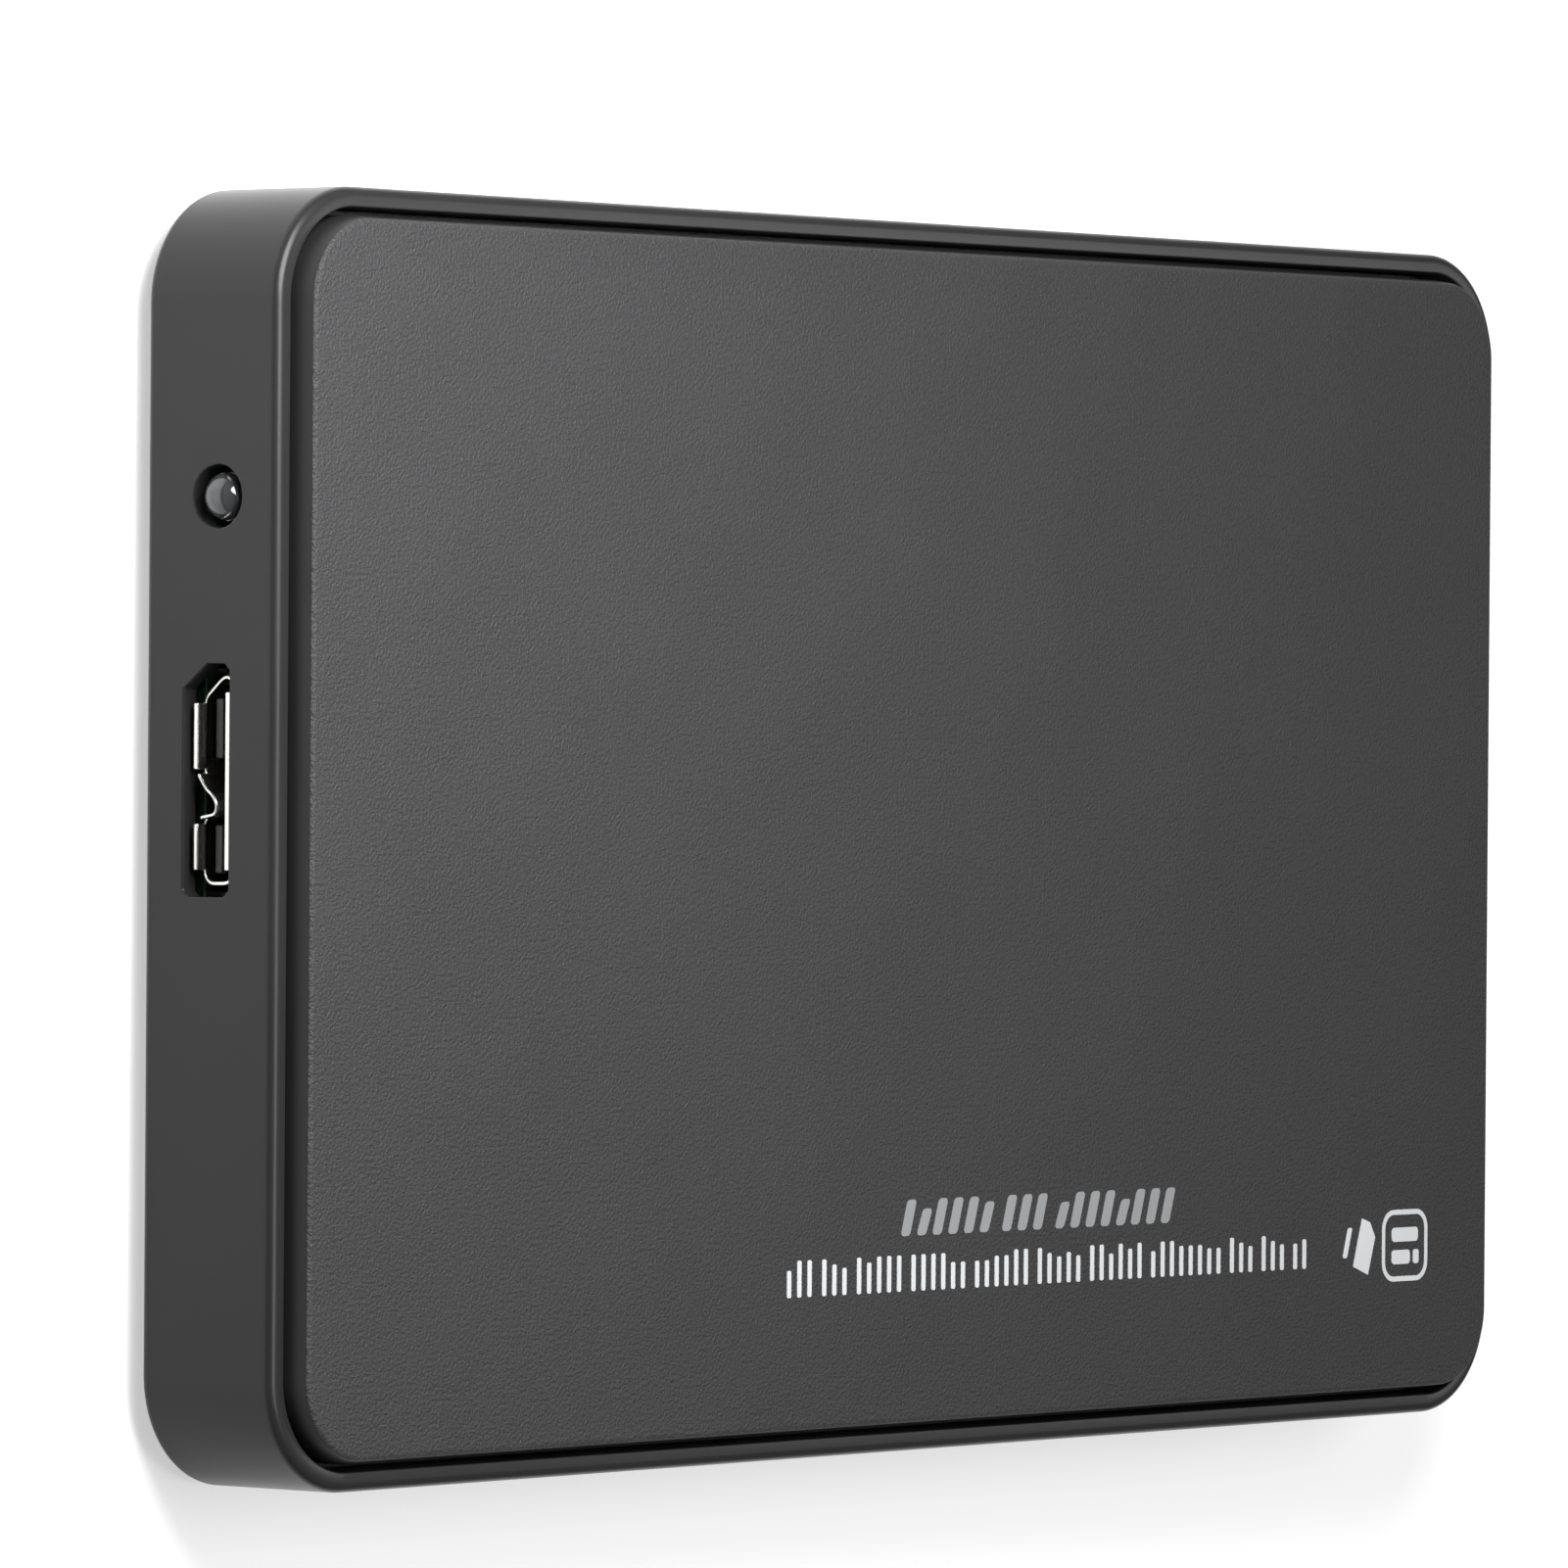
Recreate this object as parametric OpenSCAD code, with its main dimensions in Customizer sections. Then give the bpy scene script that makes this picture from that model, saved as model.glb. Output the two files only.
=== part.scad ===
// Pocket-size external solid state drive: a 2.5 inch drive in a plastic case.
// A glossy band carries a textured base tray and a textured cover that hooks in at the far
// end and snaps shut at the socket end. A bridge board joins the drive to the socket.
// +X runs from the socket end to the far end, +Y across the case, +Z up through the cover.
// The origin is the middle of the base's lower face.

/* [Case] */
// Overall length of the case
case_l = 125; // [122:1:160]
// Overall width of the case
case_w = 78; // [77:0.5:100]
// Overall height of the case, from the base panel to the cover panel
case_h = 13; // [12.6:0.1:18]
// Radius of the case's upright corners
corner_r = 7; // [5.5:0.1:9]
// Thickness of the band's wall
wall = 1.25; // [1.1:0.05:1.6]
// Rounding of the band's two rims
rim_round = 0.6; // [0.2:0.05:0.8]
// Height of each panel above the rim round it
panel_rise = 1.3; // [0.8:0.1:1.6]
// Thickness of each panel
panel_t = 1.5; // [1.2:0.1:1.8]
// Rounding of each panel's outer edge
panel_round = 1; // [0.3:0.05:1.1]
// Shadow gap between a panel and the band
panel_gap = 0.45; // [0.3:0.05:0.6]

/* [Socket end] */
// Distance of the socket's centre from the case's centre line
port_y = 3.5; // [3:0.1:5]
// Width of the socket's opening
port_w = 12.1; // [11.5:0.1:13]
// Height of the socket's opening
port_h = 2; // [1.9:0.05:2.2]
// Space between the socket's shell and the hole for it in the band
port_margin = 0.6; // [0.3:0.05:0.8]
// Distance of the lamp's centre from the case's centre line
lamp_y = 20.4; // [20:0.1:22]
// Height of the lamp's centre above the bridge board
lamp_rise = 2.15; // [2.1:0.05:2.4]
// Diameter of the lamp's lens
lamp_d = 2.95; // [2:0.05:3.6]
// Space round the lens in the band's hole
lamp_margin = 0.42; // [0.1:0.02:0.5]

/* [Drive] */
// Length of the drive
drive_l = 100.2; // [99:0.1:100.5]
// Width of the drive
drive_w = 69.85; // [69:0.05:70.2]
// Height of the drive
drive_h = 7; // [6.8:0.1:8.8]
// Thickness of the drive's two shells
shell_t = 0.9; // [0.7:0.05:1.1]
// Thickness of the drive's board
drive_board_t = 1; // [0.8:0.1:1.2]
// Distance of the drive's plug from the case's centre line
plug_y = -4.8; // [-6:0.1:-3]

/* [Bridge board] */
// Length of the bridge board, from the socket to the drive
board_l = 14.2; // [13.8:0.1:14.6]
// Width of the bridge board
board_w = 50; // [49:0.5:50]
// Thickness of the bridge board
board_t = 1; // [0.8:0.1:1.2]
// Diameter of the two self-tapping screws that hold the bridge board
screw_d = 2; // [1.6:0.1:2.4]

/* [Hidden] */
$fn = 48;
cut = 1; // how far a cutting shape runs past the face that it opens

// band
rim_low = panel_rise;
rim_high = case_h - panel_rise;
bay_l = case_l - 2 * wall;
bay_w = case_w - 2 * wall;
bay_r = corner_r - wall;
x_near = -case_l / 2 + wall; // band's inner face at the socket end
x_far = case_l / 2 - wall; // band's inner face at the far end

// panels, tray skirt and cover lip
panel_l = bay_l - 2 * panel_gap;
panel_w = bay_w - 2 * panel_gap;
panel_r = bay_r - panel_gap;
fit = 0.1; // space between the tray's skirt and the band
skirt_t = 1.2;
groove_depth = 1.2; // depth of the shadow gap below the rim
skirt_l = bay_l - 2 * fit;
skirt_w = bay_w - 2 * fit;
skirt_r = bay_r - fit;
inside_l = skirt_l - 2 * skirt_t;
inside_w = skirt_w - 2 * skirt_t;
inside_r = skirt_r - skirt_t;
cover_z = case_h - panel_t; // cover panel's lower face
lip_h = 1.9;
lip_t = 1.2;
lip_z = cover_z - lip_h;
skirt_top = lip_z - 0.1;
rib_t = 0.8;
rib_h = 0.4;

// heights, from the cover's ribs down to the bridge board
socket_wall = 0.3;
plug_up = 3.5; // from the centre of the drive's plug to the drive's upper face
plug_rise = 2.5; // from the bridge board to the centre of the plug
drive_top = cover_z - rib_h - 0.2;
drive_z = drive_top - drive_h;
plug_z = drive_top - plug_up;
board_top = plug_z - plug_rise;
board_z = board_top - board_t;
port_z = board_top + 0.05 + socket_wall + port_h / 2;
lamp_z = board_top + lamp_rise;

// hooks, snaps and their windows
window_depth = 0.6; // depth of a blind window in the band's wall
hook_reach = 0.5; // how far a hook reaches past the band's inner face
hook_w = 8;
hook_h = 0.9;
hook_y = case_w / 4;
hook_z = lip_z + 0.3;
window_space = 0.2; // round a hook, snap or barb in its window
hook_drop = 0.35; // room below a hook, which dips as the cover swings
tray_snap_w = 6;
tray_snap_h = 1;
tray_snap_reach = 0.4;
tray_snap_x = case_l / 4;
tray_snap_z = 5;
arm_w = 4.4;
arm_t = 1;
arm_space = 0.2; // between a snap arm and the skirt
arm_drop = 5.6; // length of a snap arm below the cover panel
arm_barb = 0.7; // how far the barb reaches past the arm
arm_barb_h = 1.2;
arm_y = case_w / 2 - corner_r - arm_w / 2 - 0.5;
arm_x = -inside_l / 2 + arm_space;
arm_z = cover_z - arm_drop; // lower end of a snap arm

// bridge board
socket_recess = 0.5; // of the socket's lips behind the band's outer face
socket_l = 7.6;
socket_x = socket_recess - case_l / 2;
board_x0 = x_near + 0.3;
board_x1 = board_x0 + board_l;
boss_d = screw_d + 2.6;
screw_head_d = 1.9 * screw_d;
screw_head_h = 0.6 * screw_d;
screw_hold = 1.9; // length of screw below the board
screw_places = [[board_x1 - 3, lamp_y - 0.6], [board_x0 + 3.4, -board_w / 2 + 2.9]];
lead_x = board_x0 + 5.6; // where the lamp's leads turn down into the board
lead_pitch = 2.54;
lead_t = 0.5;

// drive and its connector
drive_gap = 0.6; // between the bridge board and the drive
drive_x0 = board_x1 + drive_gap;
drive_x1 = drive_x0 + drive_l;
plug_w = 32.4; // length of both tongues and the gap between them
power_w = 20.3;
signal_w = 10.1;
tongue_t = drive_board_t + 0.2; // the contacts on its top lie level with the drive's board
tongue_l = 4.4;
key_w = 1.3;
key_h = 1.3;
plug_space = 0.15;
plug_depth = 4.9; // from the drive's end face to the plug's back wall
nose_l = 4.5; // how far the receptacle reaches into the drive
nose_w = plug_w + 1.6;
nose_h = 4.2;
mouth_w = nose_w + 1.4;
mouth_h = nose_h + 0.4;
shroud_t = 0.3;
receptacle_l = 5.7;
receptacle_w = plug_w + 4.8;
contact_pitch = 1.27;
contact_w = 0.7;
contact_t = 0.1; // half of what the tongue is thicker than the board
power_count = 15;
signal_count = 7;
contact_places = concat(
    [for (i = [0:power_count - 1]) -plug_w / 2 + 2 + i * contact_pitch],
    [for (i = [0:signal_count - 1]) plug_w / 2 - 0.6 - i * contact_pitch]
);

// inside the drive
drive_r = 2;
half_z = plug_z; // plane where the drive's two shells meet
post_d = 4;
post_gap = 0.1; // between the ends of two facing posts
post_z = half_z + 0.5; // top of the lid's posts
drive_screw_d = 1.6;
drive_screw_head_d = 2.9;
drive_screw_head_h = 0.8;
head_z = drive_top - 0.05; // top of a sunk screw head
post_x = [drive_x0 + 3.2, drive_x1 - 3.2];
post_y = drive_w / 2 - 3.2;
pcb_l = 58;
pcb_w = drive_w - 2 * shell_t - 2;
pcb_x0 = drive_x0 + plug_depth + 2.6;
pcb_z = plug_z - drive_board_t / 2;
pcb_top = pcb_z + drive_board_t;
pcb_post_d = 4.4;
pcb_post_x = pcb_x0 + pcb_l - 3.2;
pcb_post_y = pcb_w / 2 - 3.2;
package_t = 1;
nand_l = 15;
nand_w = 14;
nand_places = [for (x = [26, 45], y = [-18, 18]) [pcb_x0 + x, y]];
controller_x = pcb_x0 + 11.5;
controller_size = 14;
tap_w = 61.72; // spacing of the drive's own mounting holes across it
tap_l = 76.6; // spacing of the same holes along it
tap_x = 14; // of the first pair, from the plug end
tap_d = 2.5;
tap_depth = 2.5;

// tray
rail_w = 2;
rail_y = drive_w / 2 - 5;
rail_top = drive_z - 0.05;
rail_x0 = drive_x0 + 12;
rail_x1 = drive_x1 - 4;
guide_x0 = drive_x0 + 12;
guide_count = 5;
guide_step = (drive_l - 24) / (guide_count - 1);
guide_t = (inside_w - drive_w) / 2 - 0.2;
foam_l = 60;
foam_w = 44;
foam_t = drive_z - panel_t - 0.1;
board_gate = board_w / 2 + 0.6; // half width of the opening in the skirt for the bridge board

// ---- shapes that repeat ----

// Rounded rectangle about the origin
module outline(l, w, r) {
    square([l - 2 * r, w], center = true);
    square([l, w - 2 * r], center = true);
    for (x = [-1, 1], y = [-1, 1])
        translate([x * (l / 2 - r), y * (w / 2 - r)]) circle(r);
}

// Upright prism on that outline, from z0 to z1
module prism(l, w, r, z0, z1) {
    translate([0, 0, z0]) linear_extrude(z1 - z0) outline(l, w, r);
}

// Prism on a rounded rectangle about [x, y]
module prism_at(x, y, l, w, r, z0, z1) {
    translate([x, y, 0]) prism(l, w, r, z0, z1);
}

// Section of an edge, seen along it: reach wide, rounded by lo below and hi above
module edge_section(reach, z0, z1, lo, hi) {
    translate([0, z0 + lo]) square([reach, z1 - z0 - lo - hi]);
    if (lo > 0) {
        translate([0, z0]) square([reach - lo, lo]);
        translate([reach - lo, z0 + lo]) circle(lo);
    }
    if (hi > 0) {
        translate([0, z1 - hi]) square([reach - hi, hi]);
        translate([reach - hi, z1 - hi]) circle(hi);
    }
}

// Slab on the same outline, with its lower edge rounded by lo and its upper edge by hi
module soft_slab(l, w, r, z0, z1, lo = 0, hi = 0) {
    for (k = [0:3]) {
        along = k % 2 == 0 ? l : w;
        across = k % 2 == 0 ? w : l;
        rotate(90 * k) {
            translate([r - along / 2, across / 2 - r, 0])
                rotate([90, 0, 90]) linear_extrude(along - 2 * r) edge_section(r, z0, z1, lo, hi);
            translate([along / 2 - r, across / 2 - r, 0])
                rotate_extrude(angle = 90) edge_section(r, z0, z1, lo, hi);
        }
    }
    translate([r - l / 2, r - w / 2, z0]) cube([l - 2 * r, w - 2 * r, z1 - z0]);
}

// Box between two corners
module span(low, high) {
    translate(low) cube(high - low);
}

// Cylinder along X, from x0 to x1
module rod_x(d, x0, x1, y, z) {
    translate([x0, y, z]) rotate([0, 90, 0]) cylinder(d = d, h = x1 - x0);
}

// Upright cylinder from z0 to z1
module upright(d, z0, z1) {
    translate([0, 0, z0]) cylinder(d = d, h = z1 - z0);
}

// Small part on a board: a box of that size whose lower face is centred on [x, y, z]
module block(x, y, z, size) {
    translate([x - size.x / 2, y - size.y / 2, z]) cube(size);
}

// Gull-wing leads along the two sides of a chip that face +Y and -Y
module leads(x, y, z, body_w, count, pitch, reach, w) {
    for (side = [-1, 1], i = [0:count - 1])
        translate([x + (i - (count - 1) / 2) * pitch, y, z]) rotate(side > 0 ? 0 : 180)
            translate([-w / 2, body_w / 2, 0]) rotate([90, 0, 90]) linear_extrude(w) polygon([
                [0, 0.45], [0, 0.6], [reach * 0.5, 0.6], [reach * 0.65, 0.15],
                [reach, 0.15], [reach, 0], [reach * 0.5, 0], [reach * 0.35, 0.45]
            ]);
}

// ---- case ----

// Opening of the socket: flat above, two rooms below with a fold between them
function socket_outline(w, h) = let (a = w / 2, b = h / 2) [
    [-a + 0.35, b], [a - 0.3, b], [a, b - 0.3], [a, b - 0.65], [a - 1.2, -b],
    [0.4, -b], [-0.45, b - 1.35], [-0.85, b - 0.8], [-1.35, b - 0.5], [-1.85, b - 0.5],
    [-2.15, b - 0.8], [-2.35, -b], [-a + 0.35, -b], [-a, -b + 0.35], [-a, b - 0.35]
];

// Points of an outline moved outwards by d, each edge staying parallel
function grown(pts, d) = [for (i = [0:len(pts) - 1])
    let (
        n = len(pts),
        u = pts[i] - pts[(i + n - 1) % n],
        v = pts[(i + 1) % n] - pts[i],
        m = [-u.y, u.x] / norm(u),
        k = [-v.y, v.x] / norm(v)
    )
    pts[i] + d * (m + k) / (1 + m * k)
];

module socket_prism(pts, x0, x1) {
    translate([x0, port_y, port_z]) rotate([90, 0, 90]) linear_extrude(x1 - x0) polygon(pts);
}

// Hole in the band for the socket, with one corner cut off beside the sloped side
module port_hole() {
    a = port_w / 2 + socket_wall + port_margin;
    b = port_h / 2 + socket_wall + 0.85 * port_margin;
    c = 0.4;
    socket_prism([
        [-a + c, b], [a - c, b], [a, b - c], [a, 0.1], [a - 1.5, -b],
        [-a + c, -b], [-a, -b + c], [-a, b - c]
    ], -case_l / 2 - cut, x_near + cut);
}

module band() {
    color("#3a3a3c") difference() {
        soft_slab(case_l, case_w, corner_r, rim_low, rim_high, rim_round, rim_round);
        prism(bay_l, bay_w, bay_r, rim_low - cut, rim_high + cut);
        port_hole();
        rod_x(lamp_d + 2 * lamp_margin, -case_l / 2 - cut, x_near + cut, lamp_y, lamp_z);
        // blind windows for the cover's hooks
        for (side = [-1, 1])
            translate([x_far, side * hook_y, hook_z])
                span([-cut, -hook_w / 2 - window_space, -hook_drop],
                    [window_depth, hook_w / 2 + window_space, hook_h + window_space]);
        // blind windows for the tray's snaps
        for (side = [-1, 1], x = [-1, 1])
            translate([x * tray_snap_x, side * (bay_w / 2 + window_depth / 2), tray_snap_z])
                cube([
                    tray_snap_w + 2 * window_space, window_depth, tray_snap_h + 2 * window_space
                ], center = true);
    }
}

module base_tray() {
    shoulder_z = rim_low + groove_depth;
    color("#3f4043") {
        difference() {
            union() {
                soft_slab(panel_l, panel_w, panel_r, 0, shoulder_z, lo = panel_round);
                prism(skirt_l, skirt_w, skirt_r, shoulder_z, skirt_top);
                for (side = [-1, 1], x = [-1, 1])
                    translate([x * tray_snap_x, side * (skirt_w / 2 + tray_snap_reach / 2), tray_snap_z])
                        cube([tray_snap_w, tray_snap_reach, tray_snap_h], center = true);
            }
            prism(inside_l, inside_w, inside_r, panel_t, skirt_top + cut);
            // opening for the bridge board, its socket and the lamp
            span([-skirt_l / 2 - cut, -board_gate, board_z - 0.4],
                [-inside_l / 2 + cut, board_gate, skirt_top + cut]);
            // windows for the cover's snap arms
            for (side = [-1, 1])
                translate([-inside_l / 2, side * arm_y, arm_z])
                    span([-skirt_t - cut, -arm_w / 2 - window_space, -window_space],
                        [cut, arm_w / 2 + window_space, arm_barb_h + window_space]);
        }
        for (side = [-1, 1]) {
            // rail under the drive
            translate([0, side * rail_y, 0])
                span([rail_x0, -rail_w / 2, panel_t], [rail_x1, rail_w / 2, rail_top]);
            // ribs that keep the drive straight
            for (i = [0:guide_count - 1])
                translate([guide_x0 + i * guide_step, side * (inside_w / 2 - guide_t / 2), 0])
                    span([-0.6, -guide_t / 2, panel_t], [0.6, guide_t / 2, skirt_top - 1.5]);
        }
        for (p = screw_places) translate([p.x, p.y, panel_t]) difference() {
            cylinder(d = boss_d, h = board_z - panel_t);
            translate([0, 0, 0.3]) cylinder(d = screw_d - 0.3, h = board_z);
        }
    }
}

module foam_pad() {
    color("#2b2b2b") prism_at(drive_x0 + drive_l / 2, 0, foam_l, foam_w, 3, panel_t, panel_t + foam_t);
}

// ---- bridge board ----

module bridge_board() {
    color("#1f5a33") difference() {
        span([board_x0, -board_w / 2, board_z], [board_x1, board_w / 2, board_top]);
        for (p = screw_places)
            translate([p.x, p.y, board_z - cut]) cylinder(d = screw_d + 0.4, h = board_t + 2 * cut);
        for (side = [-1, 1])
            translate([lead_x, lamp_y + side * lead_pitch / 2, board_z - cut])
                cylinder(d = 1.5 * lead_t, h = board_t + 2 * cut);
    }
}

module board_screws() {
    color("silver") for (p = screw_places) translate([p.x, p.y, board_top]) {
        difference() {
            cylinder(d = screw_head_d, h = screw_head_h);
            for (a = [0, 90]) rotate(a) translate([-screw_head_d * 0.28, -0.2, screw_head_h * 0.4])
                cube([screw_head_d * 0.56, 0.4, screw_head_h]);
        }
        translate([0, 0, -board_t - screw_hold]) cylinder(d = screw_d - 0.3, h = board_t + screw_hold);
    }
}

module usb_shell() {
    inner = socket_outline(port_w, port_h);
    x0 = socket_x;
    color("#c9c9c6") {
        difference() {
            socket_prism(grown(inner, socket_wall), x0, x0 + socket_l);
            socket_prism(inner, x0 - cut, x0 + socket_l + cut);
        }
        // soldered feet
        for (side = [-1, 1], x = [2.6, 6])
            translate([x0 + x, port_y + side * (port_w / 2 + socket_wall + 0.3), 0])
                span([-0.6, -0.3, board_top], [0.6, 0.3, port_z + port_h / 2 - 0.4]);
    }
}

// The two tongues inside the socket: [centre, width] of each, across the socket
socket_tongues = [[-port_w / 2 + 1.95, 2.9], [port_w / 2 - 2.95, 3.6]];
socket_tongue_t = 0.6;
socket_tongue_z = port_z - 0.25;

module usb_insulator() {
    x0 = socket_x;
    color("#161616") difference() {
        union() {
            socket_prism(grown(socket_outline(port_w, port_h), -0.02), x0 + socket_l - 2.2, x0 + socket_l);
            for (t = socket_tongues)
                translate([x0, port_y + t[0], socket_tongue_z])
                    span([1, -t[1] / 2, -socket_tongue_t / 2],
                        [socket_l - 2, t[1] / 2, socket_tongue_t / 2]);
        }
        usb_contact_set();
    }
}

// Five contacts lie on top of each tongue, run out behind it and turn down to the board
module usb_contact_set() {
    x0 = socket_x;
    back_x = x0 + socket_l + 0.15;
    top_z = socket_tongue_z + socket_tongue_t / 2 + 0.03;
    strip_t = 0.13;
    for (t = socket_tongues, i = [-2:2])
        translate([0, port_y + t[0] + i * 0.55 + 0.15, 0]) rotate([90, 0, 0]) linear_extrude(0.3) polygon([
            [x0 + 1.3, top_z - strip_t], [back_x, top_z - strip_t], [back_x, board_top],
            [back_x + 0.75, board_top], [back_x + 0.75, board_top + strip_t],
            [back_x + strip_t, board_top + strip_t], [back_x + strip_t, top_z], [x0 + 1.3, top_z]
        ]);
}

module usb_contacts() {
    color("gold") usb_contact_set();
}

lamp_tip = -case_l / 2 - 0.4;
lamp_flange_x = board_x0 + 3;

module lamp() {
    r = lamp_d / 2;
    color([0.85, 0.87, 0.9, 0.6]) {
        translate([lamp_tip + r, lamp_y, lamp_z]) sphere(r);
        rod_x(lamp_d, lamp_tip + r, lamp_flange_x, lamp_y, lamp_z);
        rod_x(lamp_d + 0.8, lamp_flange_x, lamp_flange_x + 1, lamp_y, lamp_z);
    }
}

module lamp_leads() {
    t = lead_t / 2;
    color("silver") for (side = [-1, 1])
        translate([0, lamp_y + side * lead_pitch / 2, 0]) {
            span([lamp_flange_x + 1, -t, lamp_z - t], [lead_x + t, t, lamp_z + t]);
            span([lead_x - t, -t, board_z - 0.5], [lead_x + t, t, lamp_z + t]);
        }
}

// Section of the drive's two tongues, each with the turned-down end that keys it
module tongues(space, x0, x1) {
    for (t = [[-plug_w / 2, power_w], [plug_w / 2 - signal_w, signal_w]])
        translate([0, plug_y + t[0], plug_z]) {
            span([x0, -space, -tongue_t / 2 - space], [x1, t[1] + space, tongue_t / 2 + space]);
            span([x0, -space, -tongue_t / 2 - key_h + 0.2 - space], [x1, key_w + space, 0]);
        }
}

module sata_receptacle() {
    nose_x = drive_x0 + nose_l;
    body_x1 = drive_x0 - 0.3;
    color("#1b1b1d") difference() {
        union() {
            translate([body_x1, plug_y, 0]) {
                span([-receptacle_l, -receptacle_w / 2, board_top],
                    [0, receptacle_w / 2, plug_z + nose_h / 2 + 0.5]);
                span([0, -nose_w / 2, plug_z - nose_h / 2],
                    [nose_x - body_x1, nose_w / 2, plug_z + nose_h / 2]);
            }
        }
        tongues(plug_space, nose_x - 4.7, nose_x + cut);
        sata_contact_set();
    }
}

// Spring contacts: a foot on the board, a riser in the housing, and a finger over the tongue
module sata_contact_set() {
    finger_z = plug_z + tongue_t / 2 + 0.03;
    back_x = drive_x0 - 0.3 - receptacle_l;
    for (w = contact_places)
        translate([0, plug_y + w + contact_w / 2, 0]) rotate([90, 0, 0]) linear_extrude(contact_w) polygon([
            [back_x - 1, board_top], [back_x + 0.8, board_top], [back_x + 0.8, finger_z],
            [drive_x0 + nose_l - 0.6, finger_z], [drive_x0 + nose_l - 0.6, finger_z + 0.3],
            [back_x + 0.5, finger_z + 0.3], [back_x + 0.5, board_top + 0.25], [back_x - 1, board_top + 0.25]
        ]);
}

module sata_contacts() {
    color("gold") sata_contact_set();
}

chip_x = board_x0 + 3.9;
chip_y = port_y - 13.1;
flash_y = chip_y - 7;
crystal_y = port_y + 10.7;
inductor_x = board_x0 + 6.4;
inductor_y = port_y + 10.9;

module bridge_chip() {
    color("#18181a") block(chip_x, chip_y, board_top + 0.1, [5, 5, 1]);
}

module bridge_chip_leads() {
    color("silver") {
        leads(chip_x, chip_y, board_top, 5, 8, 0.55, 1, 0.22);
        translate([chip_x, chip_y, 0]) rotate(90) leads(0, 0, board_top, 5, 8, 0.55, 1, 0.22);
    }
}

module flash_chip() {
    color("#18181a") block(chip_x, flash_y, board_top + 0.1, [4.9, 3.9, 1.3]);
}

module flash_chip_leads() {
    color("silver") leads(chip_x, flash_y, board_top, 3.9, 4, 1.27, 1, 0.4);
}

module crystal() {
    color("#c8c4b4") block(board_x0 + 2.6, crystal_y, board_top, [3.2, 2.5, 0.8]);
}

module inductor() {
    color("#5a5a5c") {
        block(inductor_x, inductor_y, board_top, [0.8, 4, 0.4]);
        translate([inductor_x, inductor_y, board_top + 0.4]) cylinder(d = 3.4, h = 1.5);
    }
}

module bulk_capacitor() {
    color("#d9a441") block(board_x1 - 3.3, board_w / 2 - 2, board_top, [3.5, 2.2, 1.8]);
}

// Each small part: [distance along the board, place across it, 1 if turned a quarter]
capacitor_places = concat(
    [for (i = [0:3]) [1 + 1.6 * i, port_y - 8.4, 1]],
    [for (i = [0:2]) [6.6, 1.1 + 1.5 * i - board_w / 2, 0]],
    [for (i = [0:1]) [11 + 1.6 * i, port_y + 12.1, 1]]
);
resistor_places = concat(
    [for (i = [0:3]) [1 + 1.6 * i, port_y + 8.1, 0]],
    [for (i = [0:2]) [1 + 1.6 * i, lamp_y - 3.2, 0]],
    [[0.7, flash_y, 1]]
);

module passives(places, size) {
    for (p = places)
        block(board_x0 + p[0], p[1], board_top, p[2] == 0 ? size : [size.y, size.x, size.z]);
}

module chip_capacitors() {
    color("#b79b74") passives(capacitor_places, [1.6, 0.8, 0.8]);
}

module chip_resistors() {
    color("#202022") passives(resistor_places, [1, 0.5, 0.35]);
}

// ---- cover ----

module top_cover() {
    color("#46474a") {
        difference() {
            soft_slab(panel_l, panel_w, panel_r, lip_z, case_h, hi = panel_round);
            prism(panel_l - 2 * lip_t, panel_w - 2 * lip_t, panel_r - lip_t, lip_z - cut, cover_z);
        }
        for (side = [-1, 1]) {
            // hook under the band's far end
            translate([0, side * hook_y, hook_z])
                span([panel_l / 2 - cut / 2, -hook_w / 2, 0], [x_far + hook_reach, hook_w / 2, hook_h]);
            // snap arm at the socket end, its barb pointing outwards
            translate([arm_x, side * arm_y + arm_w / 2, 0]) rotate([90, 0, 0]) linear_extrude(arm_w) polygon([
                [0, cover_z], [arm_t, cover_z], [arm_t, arm_z], [0.2, arm_z],
                [-arm_barb, arm_z + arm_barb_h * 0.6], [-arm_barb, arm_z + arm_barb_h],
                [0, arm_z + arm_barb_h]
            ]);
        }
        // stiffening ribs
        for (i = [-1:1]) {
            block(0, i * panel_w / 4, cover_z - rib_h, [panel_l - 24, rib_t, rib_h]);
            block(i * panel_l / 4, 0, cover_z - rib_h, [rib_t, panel_w - 16, rib_h]);
        }
    }
}

// ---- drive ----

drive_mid_x = drive_x0 + drive_l / 2;

// Hollow half of the drive's case, from z0 to z1, with its floor at the z1 end if up, else at z0
module drive_half(z0, z1, up) {
    difference() {
        prism_at(drive_mid_x, 0, drive_l, drive_w, drive_r, z0, z1);
        prism_at(drive_mid_x, 0, drive_l - 2 * shell_t, drive_w - 2 * shell_t, drive_r - shell_t,
            up ? z0 - cut : z0 + shell_t, up ? z1 - shell_t : z1 + cut);
        drive_mouth();
    }
}

// Opening in the drive's end for the plug's housing
module drive_mouth() {
    half_w = mouth_w / 2 + shroud_t + 0.05;
    span([drive_x0 - cut, plug_y - half_w, drive_z + shell_t],
        [drive_x0 + shell_t + cut, plug_y + half_w, drive_top - shell_t]);
}

module at_posts() {
    for (x = post_x, side = [-1, 1]) translate([x, side * post_y, 0]) children();
}

module at_board_posts() {
    for (side = [-1, 1]) translate([pcb_post_x, side * pcb_post_y, 0]) children();
}

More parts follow.
